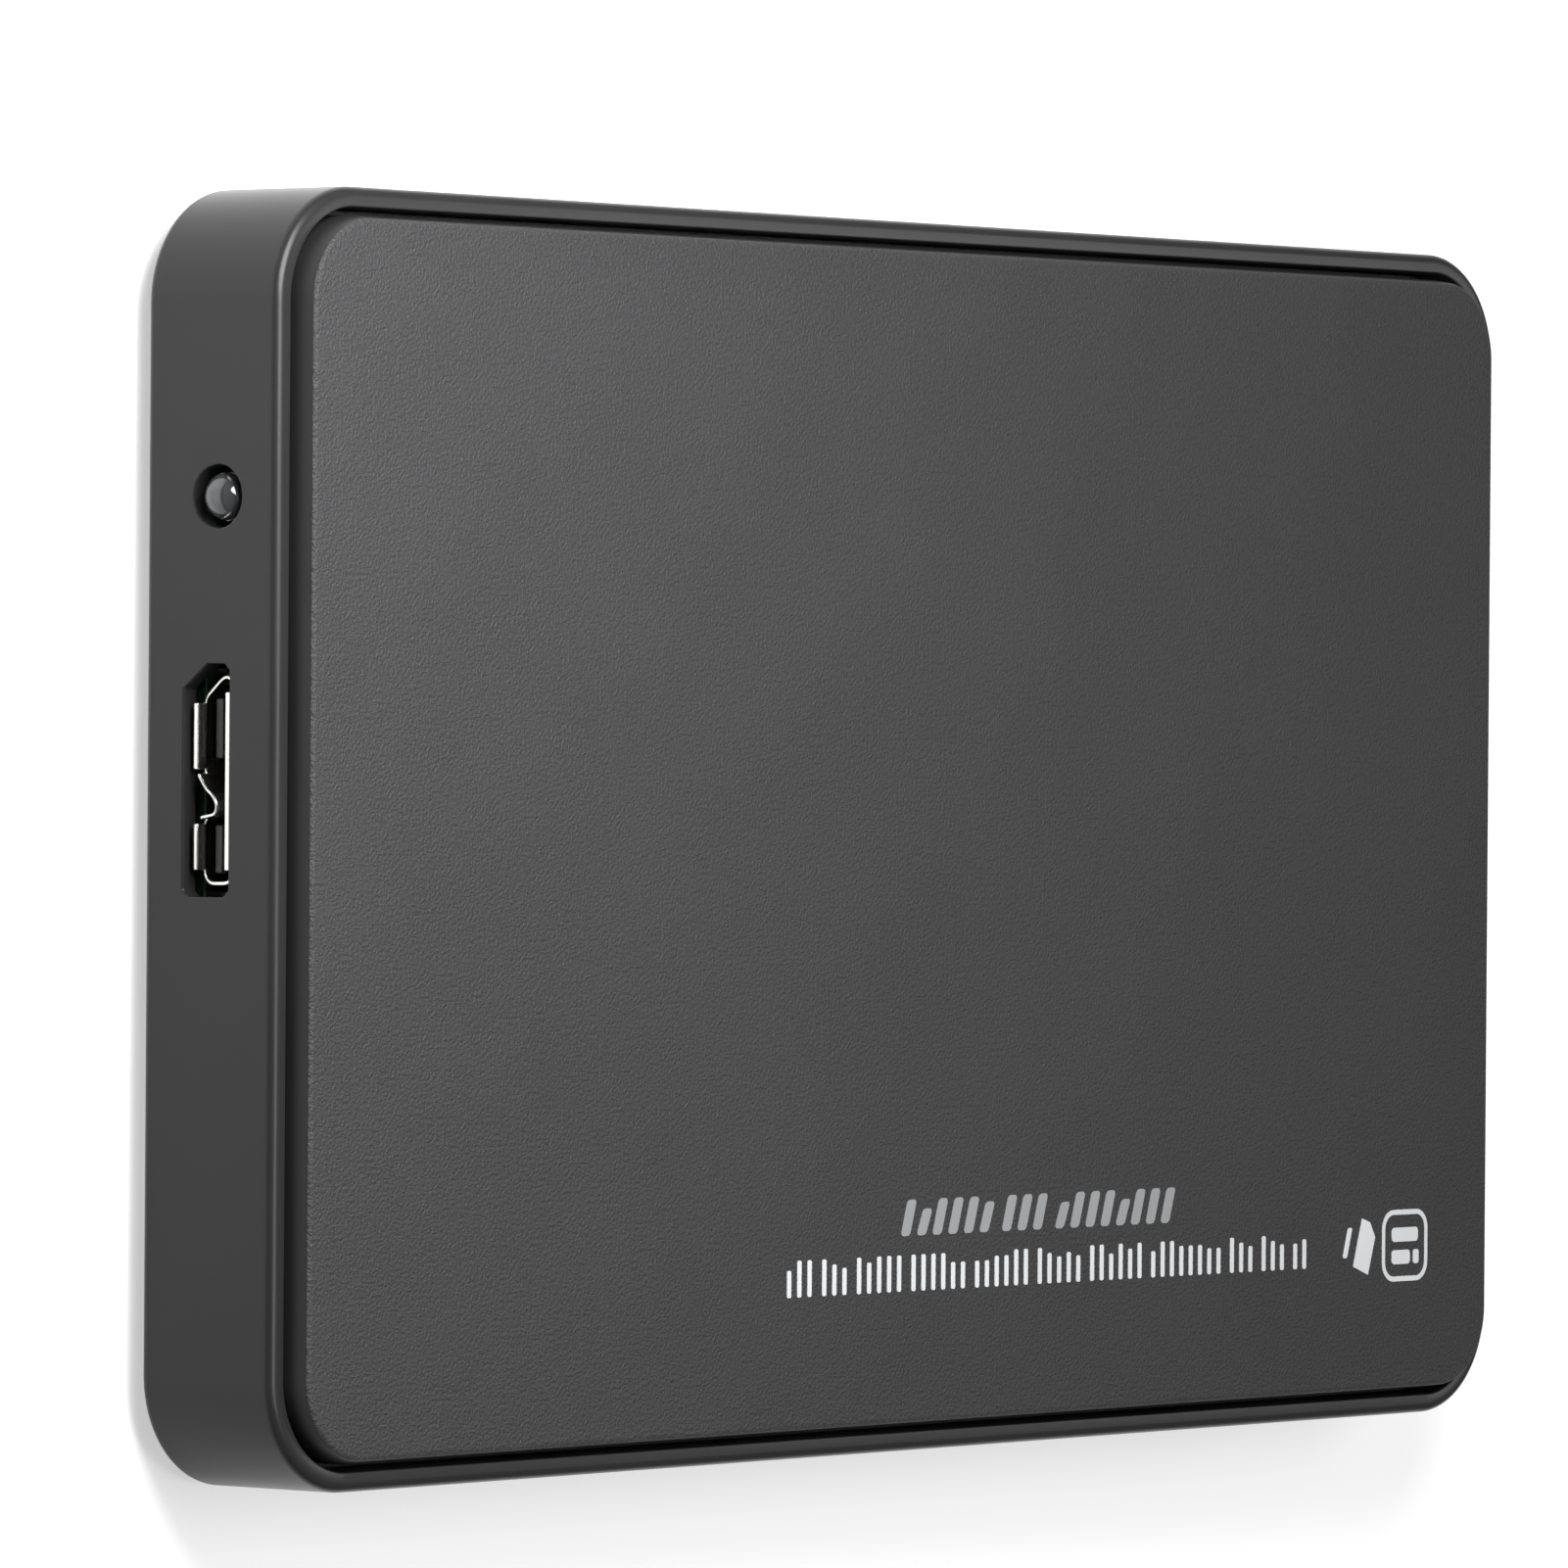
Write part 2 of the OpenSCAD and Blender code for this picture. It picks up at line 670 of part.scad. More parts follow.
// Upper shell, which is the drive's own underside: the case holds the drive face down
module drive_base() {
    color("#8d9196") difference() {
        union() {
            drive_half(half_z, drive_top, true);
            at_posts() upright(post_d, post_z + post_gap, drive_top - shell_t / 2);
            for (x = [0, 1], side = [-1, 1])
                translate([drive_x0 + tap_x + x * tap_l, side * tap_w / 2, 0])
                    upright(tap_d + 2, drive_top - tap_depth, drive_top - shell_t / 2);
        }
        at_posts() {
            upright(drive_screw_d + 0.1, half_z - cut, drive_top + cut);
            upright(drive_screw_head_d + 0.3, head_z - drive_screw_head_h, drive_top + cut);
        }
        for (x = [0, 1], side = [-1, 1])
            translate([drive_x0 + tap_x + x * tap_l, side * tap_w / 2, 0])
                upright(tap_d, drive_top - tap_depth + 0.5, drive_top + cut);
    }
}

module drive_lid() {
    color("#2a2b2e") difference() {
        union() {
            drive_half(drive_z, half_z, false);
            at_posts() upright(post_d, drive_z + shell_t / 2, post_z);
            at_board_posts() upright(pcb_post_d, drive_z + shell_t / 2, pcb_z);
        }
        at_posts() upright(drive_screw_d - 0.2, drive_z + shell_t, drive_top);
        at_board_posts() upright(drive_screw_d - 0.2, drive_z + shell_t, drive_top);
    }
}

module drive_board() {
    color("#163f5c") difference() {
        span([pcb_x0, -pcb_w / 2, pcb_z], [pcb_x0 + pcb_l, pcb_w / 2, pcb_top]);
        at_board_posts() upright(drive_screw_d + 0.3, pcb_z - cut, pcb_top + cut);
    }
}

module drive_plug() {
    back_x = drive_x0 + plug_depth;
    half_w = mouth_w / 2 + shroud_t;
    color("#19191b") difference() {
        union() {
            difference() {
                span([drive_x0 + 0.2, plug_y - half_w, drive_z + shell_t],
                    [back_x + 2.5, plug_y + half_w, drive_top - shell_t]);
                span([drive_x0 - cut, plug_y - mouth_w / 2, plug_z - mouth_h / 2],
                    [back_x, plug_y + mouth_w / 2, plug_z + mouth_h / 2]);
            }
            tongues(0, back_x - tongue_l, back_x + cut);
        }
        plug_contact_set();
    }
}

// Contact strips flush with the tops of the tongues, their tails lying on the drive's board
module plug_contact_set() {
    for (w = contact_places)
        translate([drive_x0 + plug_depth - tongue_l + 0.4, plug_y + w - contact_w / 2, pcb_top])
            cube([pcb_x0 - drive_x0 - plug_depth + tongue_l + 0.8, contact_w, contact_t]);
}

module plug_contacts() {
    color("gold") plug_contact_set();
}

module controller() {
    color("#141416") block(controller_x, 0, pcb_top, [controller_size, controller_size, package_t]);
}

module memory_chip() {
    color("#141416") block(controller_x + 1, -19, pcb_top, [11, 8, package_t]);
}

module nand(i) {
    color("#141416") block(nand_places[i].x, nand_places[i].y, pcb_top, [nand_l, nand_w, package_t]);
}

module drive_capacitors() {
    color("#b79b74") {
        for (i = [0:5]) block(controller_x - 5 + 2 * i, 10, pcb_top, [0.8, 1.6, 0.8]);
        for (i = [0:3]) block(controller_x - 4 + 2.4 * i, 22, pcb_top, [1.2, 2, 1]);
    }
}

module thermal_pad() {
    color("#9fb4c4") block(controller_x, 0, pcb_top + package_t,
        [controller_size - 2, controller_size - 2, drive_top - shell_t - pcb_top - package_t]);
}

// Cross-head screw of that length, hanging from its head's top at the origin
module small_screw(length) {
    difference() {
        union() {
            translate([0, 0, -drive_screw_head_h]) cylinder(d = drive_screw_head_d, h = drive_screw_head_h);
            translate([0, 0, -length]) cylinder(d = drive_screw_d - 0.2, h = length - drive_screw_head_h / 2);
        }
        for (a = [0, 90]) rotate(a) translate([-0.8, -0.17, -0.45]) cube([1.6, 0.34, 1]);
    }
}

module drive_screws() {
    color("#3b3b3d") at_posts() translate([0, 0, head_z]) small_screw(drive_h - shell_t - 0.4);
}

module drive_board_screws() {
    color("silver") at_board_posts() translate([0, 0, pcb_top + drive_screw_head_h])
        small_screw(drive_screw_head_h + drive_board_t + 1.2);
}

module drive_label() {
    color("#c4c7ca") prism_at(drive_mid_x + 3, 0, tap_l - 12, tap_w - 8, 1.5, drive_top, drive_top + 0.1);
}

band();
base_tray();
foam_pad();
bridge_board();
board_screws();
usb_shell();
usb_insulator();
usb_contacts();
lamp();
lamp_leads();
sata_receptacle();
sata_contacts();
bridge_chip();
bridge_chip_leads();
flash_chip();
flash_chip_leads();
crystal();
inductor();
bulk_capacitor();
chip_capacitors();
chip_resistors();
top_cover();
drive_base();
drive_lid();
drive_board();
drive_plug();
plug_contacts();
controller();
memory_chip();
for (i = [0:3]) nand(i);
drive_capacitors();
thermal_pad();
drive_screws();
drive_board_screws();
drive_label();
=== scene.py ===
import math
import random

import bmesh
import bpy
from mathutils import Matrix, Vector, noise


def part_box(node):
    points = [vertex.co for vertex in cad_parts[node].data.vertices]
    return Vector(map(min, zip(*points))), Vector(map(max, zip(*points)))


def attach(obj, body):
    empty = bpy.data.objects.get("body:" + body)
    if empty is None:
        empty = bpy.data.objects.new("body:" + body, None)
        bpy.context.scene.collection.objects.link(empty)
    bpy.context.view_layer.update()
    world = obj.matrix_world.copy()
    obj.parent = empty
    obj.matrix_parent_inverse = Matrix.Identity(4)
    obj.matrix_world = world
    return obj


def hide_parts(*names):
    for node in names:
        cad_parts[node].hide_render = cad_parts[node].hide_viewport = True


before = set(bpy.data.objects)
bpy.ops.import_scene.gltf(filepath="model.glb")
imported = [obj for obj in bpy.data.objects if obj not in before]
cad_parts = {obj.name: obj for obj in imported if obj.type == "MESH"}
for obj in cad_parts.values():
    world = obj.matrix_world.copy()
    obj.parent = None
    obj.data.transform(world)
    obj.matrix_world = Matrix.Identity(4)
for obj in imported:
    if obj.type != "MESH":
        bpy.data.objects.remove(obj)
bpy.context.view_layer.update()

# ---- Camera ----
# A long lens looks down on the socket end, from 0.7 m away and 0.45 m above the table.
# The case's long side runs across the picture and its lamp side is at the top.


def put_in_scene(name, data):
    made = bpy.data.objects.new(name, data)
    bpy.context.scene.collection.objects.link(made)
    return made


lens = bpy.data.cameras.new("camera")
lens.lens = 257.8
lens.sensor_width = 36
lens.clip_end = 20
camera = put_in_scene("camera", lens)
turn = Matrix.Rotation(math.radians(-51.29), 4, "Y")
tilt = Matrix.Rotation(math.radians(-0.33), 4, "X")
roll = Matrix.Rotation(math.radians(0.42), 4, "Z")
camera.matrix_world = Matrix.Translation((-0.56215, 0.00738, 0.4508)) @ turn @ tilt @ roll
bpy.context.scene.camera = camera

# ---- Studio ----
# The case lies on a white table inside a white tent, which is darker round its opening for the camera.
# One soft lamp hangs close over the lamp side of the socket end, a large one higher up, and a small
# one stands beyond the far end, where the grain and the rims catch it.
table_half = 3
table_z = -0.00005


def set_inputs(node, values):
    for socket, value in values.items():
        node.inputs[socket].default_value = value


def add_node(tree, kind, values=None, **settings):
    """Adds a node with its settings, and the values of its input sockets."""
    made = tree.nodes.new(kind)
    for name, value in settings.items():
        setattr(made, name, value)
    set_inputs(made, values or {})
    return made


def wire(tree, *joins):
    """Links sockets. Each join is a node, its output, the next node and its input."""
    for start, output, end, socket in joins:
        tree.links.new(start.outputs[output], end.inputs[socket])


table = bpy.data.meshes.new("table")
sides = [(x * table_half, y * table_half, table_z) for x, y in ((-1, -1), (1, -1), (1, 1), (-1, 1))]
table.from_pydata(sides, [], [(0, 1, 2, 3)])
put_in_scene("table", table)
white = bpy.data.materials.new("white_table")
white.use_nodes = True
set_inputs(white.node_tree.nodes["Principled BSDF"], {
    "Base Color": (0.5, 0.5, 0.5, 1), "Roughness": 0.75,
    "Emission Color": (1, 1, 1, 1), "Emission Strength": 0.52})
table.materials.append(white)

tent = bpy.data.worlds.new("tent")
tent.use_nodes = True
bpy.context.scene.world = tent
tree = tent.node_tree
way = add_node(tree, "ShaderNodeTexCoord")
toward = add_node(tree, "ShaderNodeVectorMath", {1: (-0.78, 0, 0.625)}, operation="DOT_PRODUCT")
opening = add_node(tree, "ShaderNodeMapRange", interpolation_type="SMOOTHSTEP", values={
    "From Min": 0.72, "From Max": 0.97, "To Min": 0.22, "To Max": 0.10})
backdrop = tree.nodes["Background"]
backdrop.inputs["Color"].default_value = (1, 1, 1, 1)
wire(tree, (way, "Generated", toward, 0), (toward, "Value", opening, "Value"),
     (opening, "Result", backdrop, "Strength"))

for name, place, aim, width, height, watts in (
        ("key_lamp", (-0.09, 0.088, 0.13), (-0.045, 0.035, 0.01), 0.10, 0.10, 0.72),
        ("far_lamp", (0.46, 0.02, 0.37), (0, 0, 0.01), 0.16, 0.16, 0.32),
        ("top_lamp", (-0.05, 0, 0.45), (-0.05, 0, 0.01), 0.22, 0.30, 1.2)):
    light = bpy.data.lights.new(name, "AREA")
    light.shape = "RECTANGLE"
    light.size = width
    light.size_y = height
    light.energy = watts
    holder = put_in_scene(name, light)
    holder.location = place
    holder.rotation_euler = (Vector(aim) - Vector(place)).to_track_quat("-Z", "Y").to_euler()
bpy.context.scene.view_settings.view_transform = "Standard"

# ---- Band ----
# One glossy black moulding makes the four side walls. Its rims are rounded, its end wall is pierced
# for the lamp and the socket, and blind windows inside take the cover's hooks and the tray's snaps.
# From here on, sizes are in millimetres, and mesh_object turns them into metres.
mm = 0.001


def cad_corners(node):
    """Lowest and highest corner of a CAD part."""
    low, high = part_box(node)
    return low / mm, high / mm


band_low, band_high = cad_corners("band")
band_l = band_high.x - band_low.x
band_w = band_high.y - band_low.y
case_r = 7
wall = 1.25


def rounded(length, width, radius, per_corner=20, along=1):
    """Points anticlockwise round a rectangle with round corners, each straight side cut into that many."""
    corners = []
    for quarter, (side_x, side_y) in enumerate(((1, 1), (-1, 1), (-1, -1), (1, -1))):
        middle = Vector((side_x * (length / 2 - radius), side_y * (width / 2 - radius)))
        turns = [math.pi / 2 * (quarter + step / per_corner) for step in range(per_corner + 1)]
        corners.append([middle + radius * Vector((math.cos(a), math.sin(a))) for a in turns])
    points = []
    for corner, after in zip(corners, corners[1:] + corners[:1]):
        points += corner + [corner[-1].lerp(after[0], i / along) for i in range(1, along)]
    return points


def ring_in(low, high, inset, z, radius, per_corner=20, along=1):
    """Level ring with round corners, inset from the sides of a box."""
    ring = rounded(high[0] - low[0] - 2 * inset, high[1] - low[1] - 2 * inset, radius, per_corner, along)
    return [Vector(((low[0] + high[0]) / 2 + p.x, (low[1] + high[1]) / 2 + p.y, z)) for p in ring]


def case_ring(inset, z, per_corner=20, least_r=0.4):
    """Level ring that follows the case's outline, that far inside it."""
    return ring_in(band_low, band_high, inset, z, max(case_r - inset, least_r), per_corner)


def loft(bm, rings, close=False, first=True, last=True):
    """Joins rings with equal counts of points, end to start if closed, or with a flat cap at each end."""
    loops = [[bm.verts.new(p) for p in ring] for ring in rings]
    for low, high in zip(loops, loops[1:] + loops[:1] if close else loops[1:]):
        for i in range(len(low)):
            j = (i + 1) % len(low)
            bm.faces.new((low[i], low[j], high[j], high[i]))
    if first and not close:
        bm.faces.new(list(reversed(loops[0])))
    if last and not close:
        bm.faces.new(loops[-1])


def mesh_object(name, bm):
    """Makes an object of what was drawn, in metres, with its faces turned outwards."""
    bmesh.ops.recalc_face_normals(bm, faces=bm.faces)
    mesh = bpy.data.meshes.new(name)
    bm.to_mesh(mesh)
    bm.free()
    mesh.transform(Matrix.Scale(mm, 4))
    return put_in_scene(name, mesh)


def box_into(bm, start, end, soft=0.0, steps=2):
    """Adds a box between two opposite corners, its edges rounded by soft."""
    low, high = (Vector(pick(a, b) for a, b in zip(start, end)) for pick in (min, max))
    made = bmesh.ops.create_cube(bm, size=1)["verts"]
    for v in made:
        v.co = low + Vector((v.co[i] + 0.5) * (high - low)[i] for i in range(3))
    if soft > 0:
        edges = {e for v in made for e in v.link_edges}
        bmesh.ops.bevel(bm, geom=list(edges), offset=soft, segments=steps, profile=0.5, affect="EDGES")


def rod_into(bm, radius, start, end, sides=48):
    start, end = Vector(start), Vector(end)
    place = Matrix.Translation((start + end) / 2) @ (end - start).to_track_quat("Z", "Y").to_matrix().to_4x4()
    bmesh.ops.create_cone(bm, cap_ends=True, segments=sides, radius1=radius, radius2=radius,
                          depth=(end - start).length, matrix=place)


def shade(piece, smooth):
    for face in piece.data.polygons:
        face.use_smooth = smooth


def settle(piece):
    """Makes what the piece's modifiers show into its own mesh."""
    bpy.context.view_layer.update()
    old = piece.data
    piece.data = bpy.data.meshes.new_from_object(piece.evaluated_get(bpy.context.evaluated_depsgraph_get()))
    piece.modifiers.clear()
    bpy.data.meshes.remove(old)


def finish_mesh(piece, bevel=0.0, steps=2, angle=35):
    """Softens the sharp edges, and keeps flat faces shaded flat."""
    if bevel > 0:
        soften = piece.modifiers.new("soften", "BEVEL")
        soften.width = bevel * mm
        soften.segments = steps
        soften.limit_method = "ANGLE"
        soften.angle_limit = math.radians(angle)
    even = piece.modifiers.new("even", "WEIGHTED_NORMAL")
    even.keep_sharp = True
    even.weight = 80
    settle(piece)
    return piece


def cut_away(piece, cutter, crossing=False):
    """Takes the cutter out of the piece and deletes it. Cutters made of solids that cross say so."""
    if not crossing:
        shade(piece, True)
    hole = piece.modifiers.new("hole", "BOOLEAN")
    hole.operation = "DIFFERENCE"
    hole.solver = "EXACT"
    hole.use_self = crossing
    hole.object = cutter
    settle(piece)
    bpy.data.objects.remove(cutter)


def arc(middle, radius, start, end, steps):
    """Points (inset, height) on an arc from one angle to another, in degrees."""
    turns = [math.radians(start + (end - start) * i / steps) for i in range(steps + 1)]
    return [(middle[0] + radius * math.cos(a), middle[1] + radius * math.sin(a)) for a in turns]


rim_r = 0.62
inner_r = 0.12
z0, z1 = band_low.z, band_high.z
profile = arc((rim_r, z0 + rim_r), rim_r, 270, 180, 8) + arc((rim_r, z1 - rim_r), rim_r, 180, 90, 8)
profile += arc((wall - inner_r, z1 - inner_r), inner_r, 90, 0, 3)
profile += arc((wall - inner_r, z0 + inner_r), inner_r, 0, -90, 3)
bm = bmesh.new()
loft(bm, [case_ring(inset, z, 24) for inset, z in profile], close=True)
band = mesh_object("side_band", bm)

# the holes for the socket and the lamp, and the blind windows
port_y, port_z = 3.5, 6.25
port_a, port_b, nick = 6.95, 1.81, 0.4
port_slant = 1.5
lamp_hole_r = 1.895
lamp_low, lamp_high = cad_corners("lamp")
lamp_middle = (lamp_low + lamp_high) / 2
outline = [(-port_a + nick, port_b), (port_a - nick, port_b), (port_a, port_b - nick), (port_a, 0.1),
           (port_a - port_slant, -port_b), (-port_a + nick, -port_b), (-port_a, -port_b + nick),
           (-port_a, port_b - nick)]
bm = bmesh.new()
near, far = band_low.x - 2, band_low.x + 2
loft(bm, [[Vector((x, port_y + y, port_z + z)) for y, z in outline] for x in (near, far)])
rod_into(bm, lamp_hole_r, (near, lamp_middle.y, lamp_middle.z), (far, lamp_middle.y, lamp_middle.z), 64)
hook_y = 19.5
snap_x = 31.25
window = 0.6
inner_x = band_high.x - wall
inner_y = band_high.y - wall
for hand in (-1, 1):
    box_into(bm, (inner_x - 1, hand * hook_y - 4.2, 9.55), (inner_x + window, hand * hook_y + 4.2, 11))
    for x in (-snap_x, snap_x):
        box_into(bm, (x - 3.2, hand * (inner_y - 1), 4.3), (x + 3.2, hand * (inner_y + window), 5.7))
cut_away(band, mesh_object("band_holes", bm))
finish_mesh(band, bevel=0.13, steps=3, angle=40)


def plastic(name, colour, roughness, grain_size, grain_depth, mottle=0.12, specular=0.5):
    """Moulded plastic: a tone that wanders slightly, and a raised grain of that size."""
    material = bpy.data.materials.new(name)
    material.use_nodes = True
    tree = material.node_tree
    shader = tree.nodes["Principled BSDF"]
    set_inputs(shader, {"IOR": 1.5, "Specular IOR Level": specular})
    spot = add_node(tree, "ShaderNodeTexCoord")
    cloud = add_node(tree, "ShaderNodeTexNoise", {"Scale": 90, "Detail": 3})
    tone = add_node(tree, "ShaderNodeMapRange", {"To Min": 1 - mottle, "To Max": 1 + mottle})
    tinted = add_node(tree, "ShaderNodeVectorMath", {0: colour}, operation="SCALE")
    grain = add_node(tree, "ShaderNodeTexNoise", {
        "Scale": 1 / (grain_size * mm), "Detail": 2.5, "Roughness": 0.6})
    raised = add_node(tree, "ShaderNodeBump", {"Strength": 1, "Distance": grain_depth * mm})
    wear = add_node(tree, "ShaderNodeMapRange", {"To Min": roughness - 0.06, "To Max": roughness + 0.06})
    wire(tree, (spot, "Object", cloud, "Vector"), (cloud, "Fac", tone, "Value"),
         (tone, "Result", tinted, "Scale"), (tinted, "Vector", shader, "Base Color"),
         (spot, "Object", grain, "Vector"), (grain, "Fac", raised, "Height"),
         (raised, "Normal", shader, "Normal"),
         (cloud, "Fac", wear, "Value"), (wear, "Result", shader, "Roughness"))
    return material


def assign(piece, body, node=None, finish=None):
    """Gives a piece its finish and its body, and hides the CAD part that it stands for."""
    if finish:
        piece.data.materials.append(finish)
    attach(piece, body)
    if node:
        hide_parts(node)


gloss_black = plastic("gloss_black", (0.014, 0.014, 0.0145), 0.30, 1.6, 0.0012, mottle=0.08, specular=0.2)
assign(band, "case", "band", gloss_black)

# ---- Top cover ----
# A black moulding with a fine spark-eroded grain. Its panel stands proud of the band's rim, with a
# leaning edge, and a lip, two hooks and two snap arms underneath hold it in the band.
cover_high = cad_corners("top_cover")[1]
panel_inset = wall + 0.45
panel_l = band_l - 2 * panel_inset
panel_w = band_w - 2 * panel_inset
panel_z = 11.5
top_z = cover_high.z - 0.03
lip_z = 9.6
lip_t = 1.2
lip_curl = 0.3
edge_lean = 0.22
edge_curl = 0.38


def edge_profile(top):
    """Side of a panel up to its flat: straight, leaning in, then curling over."""
    rise = top - edge_curl - panel_z
    slope = math.atan2(edge_lean, rise)
    middle = (edge_lean + edge_curl * math.cos(slope), top - edge_curl)
    curl = arc(middle, edge_curl, 180 - math.degrees(slope), 90, 7)
    return [(0, panel_z), (edge_lean * 0.35, panel_z + rise * 0.35)] + curl


def panel_ring(inset, z):
    return case_ring(panel_inset + inset, z)


bm = bmesh.new()
side = [(0.10, lip_z), (0, lip_z + 0.1)] + edge_profile(top_z)
inside = [(lip_t - 0.1, lip_z), (lip_t, lip_z + 0.1), (lip_t, panel_z - lip_curl)]
inside += arc((lip_t + lip_curl, panel_z - lip_curl), lip_curl, 180, 90, 4)[1:]
loft(bm, [panel_ring(inset, z) for inset, z in list(reversed(inside)) + side])
hook_x0, hook_x1 = panel_l / 2 - 0.6, inner_x + 0.5
arm_x, arm_y, arm_half = -59.75, 29.3, 2.2
barb = [(0, 11.7), (1.0, 11.7), (1.0, 6.15), (0.75, 5.9), (0.2, 5.9), (-0.62, 6.55), (-0.7, 6.7), (-0.7, 7.0),
        (-0.6, 7.1), (-0.1, 7.12), (0, 7.25)]
for hand in (-1, 1):
    box_into(bm, (hook_x0, hand * hook_y - 4, 9.9), (hook_x1, hand * hook_y + 4, 10.8), 0.15)
    loft(bm, [[Vector((arm_x + x, hand * arm_y + y, z)) for x, z in barb] for y in (-arm_half, arm_half)])
rib_half, rib_low, rib_high, rib_soft = 0.4, 11.1, 11.7, 0.12
for share in (-0.25, 0, 0.25):
    reach, y = panel_l / 2 - 12, share * panel_w
    box_into(bm, (-reach, y - rib_half, rib_low), (reach, y + rib_half, rib_high), rib_soft)
    reach, x = panel_w / 2 - 8, share * panel_l
    box_into(bm, (x - rib_half, -reach, rib_low), (x + rib_half, reach, rib_high), rib_soft)
cover = finish_mesh(mesh_object("cover_panel", bm))
shade(cover, True)
grained_black = plastic("grained_black", (0.022, 0.022, 0.023), 0.55, 0.22, 0.17, mottle=0.10, specular=0.32)
# The side walls' black is darker than the grained black: partly their own polished finish, partly painted
# shade on the side walls.
polished_shaded_black = plastic("polished_shaded_black", (0.014, 0.014, 0.0145), 0.42, 0.6, 0.002, mottle=0.08, specular=0.25)
least_level = 0.6


def grain_on_flats(piece):
    """The grain is only on the faces that look up or down: the mould's side walls are polished. Their black is
    also darker than the grained faces', painted shade on the side walls.
    """
    piece.data.materials.append(grained_black)
    piece.data.materials.append(polished_shaded_black)
    for face in piece.data.polygons:
        face.material_index = 0 if abs(face.normal.z) > least_level else 1


grain_on_flats(cover)
assign(cover, "cover", "top_cover")

# ---- Base tray ----
# The back of the case is a second grained moulding. Its panel mirrors the cover's, and a skirt stands up
# from it inside the band, with rails, guide ribs and screw bosses for what the case holds.
shoulder_z = 2.5
floor_z = 1.5
skirt_top = cad_corners("base_tray")[1].z
skirt_gap = 0.1
skirt_t = 1.2
skirt_soft = 0.12
drive_low, drive_high = cad_corners("drive_lid")


def gather(name, *parts):
    """Joins finished parts into one object."""
    bm = bmesh.new()
    for part in parts:
        bm.from_mesh(part.data)
        bpy.data.objects.remove(part)
    mesh = bpy.data.meshes.new(name)
    bm.to_mesh(mesh)
    bm.free()
    return put_in_scene(name, mesh)


def turned_into(bm, profile, place, sides=48, close=False, along_x=False):
    """Adds a turned shape: (radius, height) points spun about an upright or a lengthwise axis."""
    stand = Matrix.Translation(place)
    if along_x:
        stand = stand @ Matrix.Rotation(math.radians(90), 4, "Y")
    turns = [2 * math.pi * i / sides for i in range(sides)]
    rings = [[stand @ Vector((r * math.cos(a), r * math.sin(a), z)) for a in turns] for r, z in profile]
    loft(bm, rings, close, profile[0][0] > 0, profile[-1][0] > 0)
    bmesh.ops.remove_doubles(bm, verts=bm.verts, dist=1e-5)


def skirt_ring(inset, z):
    return case_ring(wall + skirt_gap + inset, z)


bm = bmesh.new()
rings = [skirt_ring(inset, z) for inset, z in (
    (skirt_t + 0.3, floor_z), (skirt_t + 0.09, floor_z + 0.09), (skirt_t, floor_z + 0.3),
    (skirt_t, skirt_top - skirt_soft), (skirt_t - skirt_soft, skirt_top), (skirt_soft, skirt_top),
    (0, skirt_top - skirt_soft), (0, shoulder_z))]
rings += [panel_ring(0, shoulder_z)]
rings += [panel_ring(inset, cover_high.z - z) for inset, z in edge_profile(cover_high.z)]
loft(bm, rings)
tray_body = mesh_object("tray_body", bm)
gate_y = 25.6
skirt_x = band_low.x + wall
bm = bmesh.new()
box_into(bm, (skirt_x - 1, -gate_y, 3.5), (skirt_x + 3, gate_y, skirt_top + 1))
for hand in (-1, 1):
    box_into(bm, (skirt_x - 1, hand * arm_y - 2.4, 5.7), (skirt_x + 3, hand * arm_y + 2.4, 7.3))
cut_away(tray_body, mesh_object("tray_openings", bm))

rail_y = drive_high.y - 5
foot_z = floor_z - 0.2
rib_x0 = drive_low.x + 12
rib_step = (drive_high.x - drive_low.x - 24) / 4
rib_top, rib_lean = 8, 0.3
skirt_y = inner_y - skirt_gap
outer, inner = skirt_y - skirt_t + 0.3, drive_high.y + 0.2
rib = [(inner, foot_z), (outer, foot_z), (outer, rib_top), (inner + rib_lean, rib_top - 0.05)]
ramp = [(-0.5, 5.5), (0.4, 5.5), (0.4, 5.1), (0.1, 4.5), (-0.5, 4.5)]
bosses = [(-49.75, 19.8), (-57.55, -22.1)]
boss = [(2.3, 1.3), (2.45, 1.5), (2.3, 1.9), (2.3, 3.8), (2.2, 3.9), (1.0, 3.9), (0.85, 3.75), (0.85, 1.3)]
bm = bmesh.new()
for hand in (-1, 1):
    box_into(bm, (rib_x0, hand * rail_y - 1, foot_z), (drive_high.x - 4, hand * rail_y + 1, 3.85), 0.15)
    for i in range(5):
        x = rib_x0 + i * rib_step
        loft(bm, [[Vector((x + dx, hand * y, z)) for y, z in rib] for dx in (-0.6, 0.6)])
    for x in (-snap_x, snap_x):
        loft(bm, [[Vector((x + dx, hand * (skirt_y + y), z)) for y, z in ramp] for dx in (-3, 3)])
for x, y in bosses:
    turned_into(bm, boss, (x, y, 0), close=True)
tray_ribs = finish_mesh(mesh_object("tray_ribs", bm), bevel=0.1)
tray = gather("base_tray_moulding", tray_body, tray_ribs)
shade(tray, True)
finish_mesh(tray)
grain_on_flats(tray)
assign(tray, "case", "base_tray")

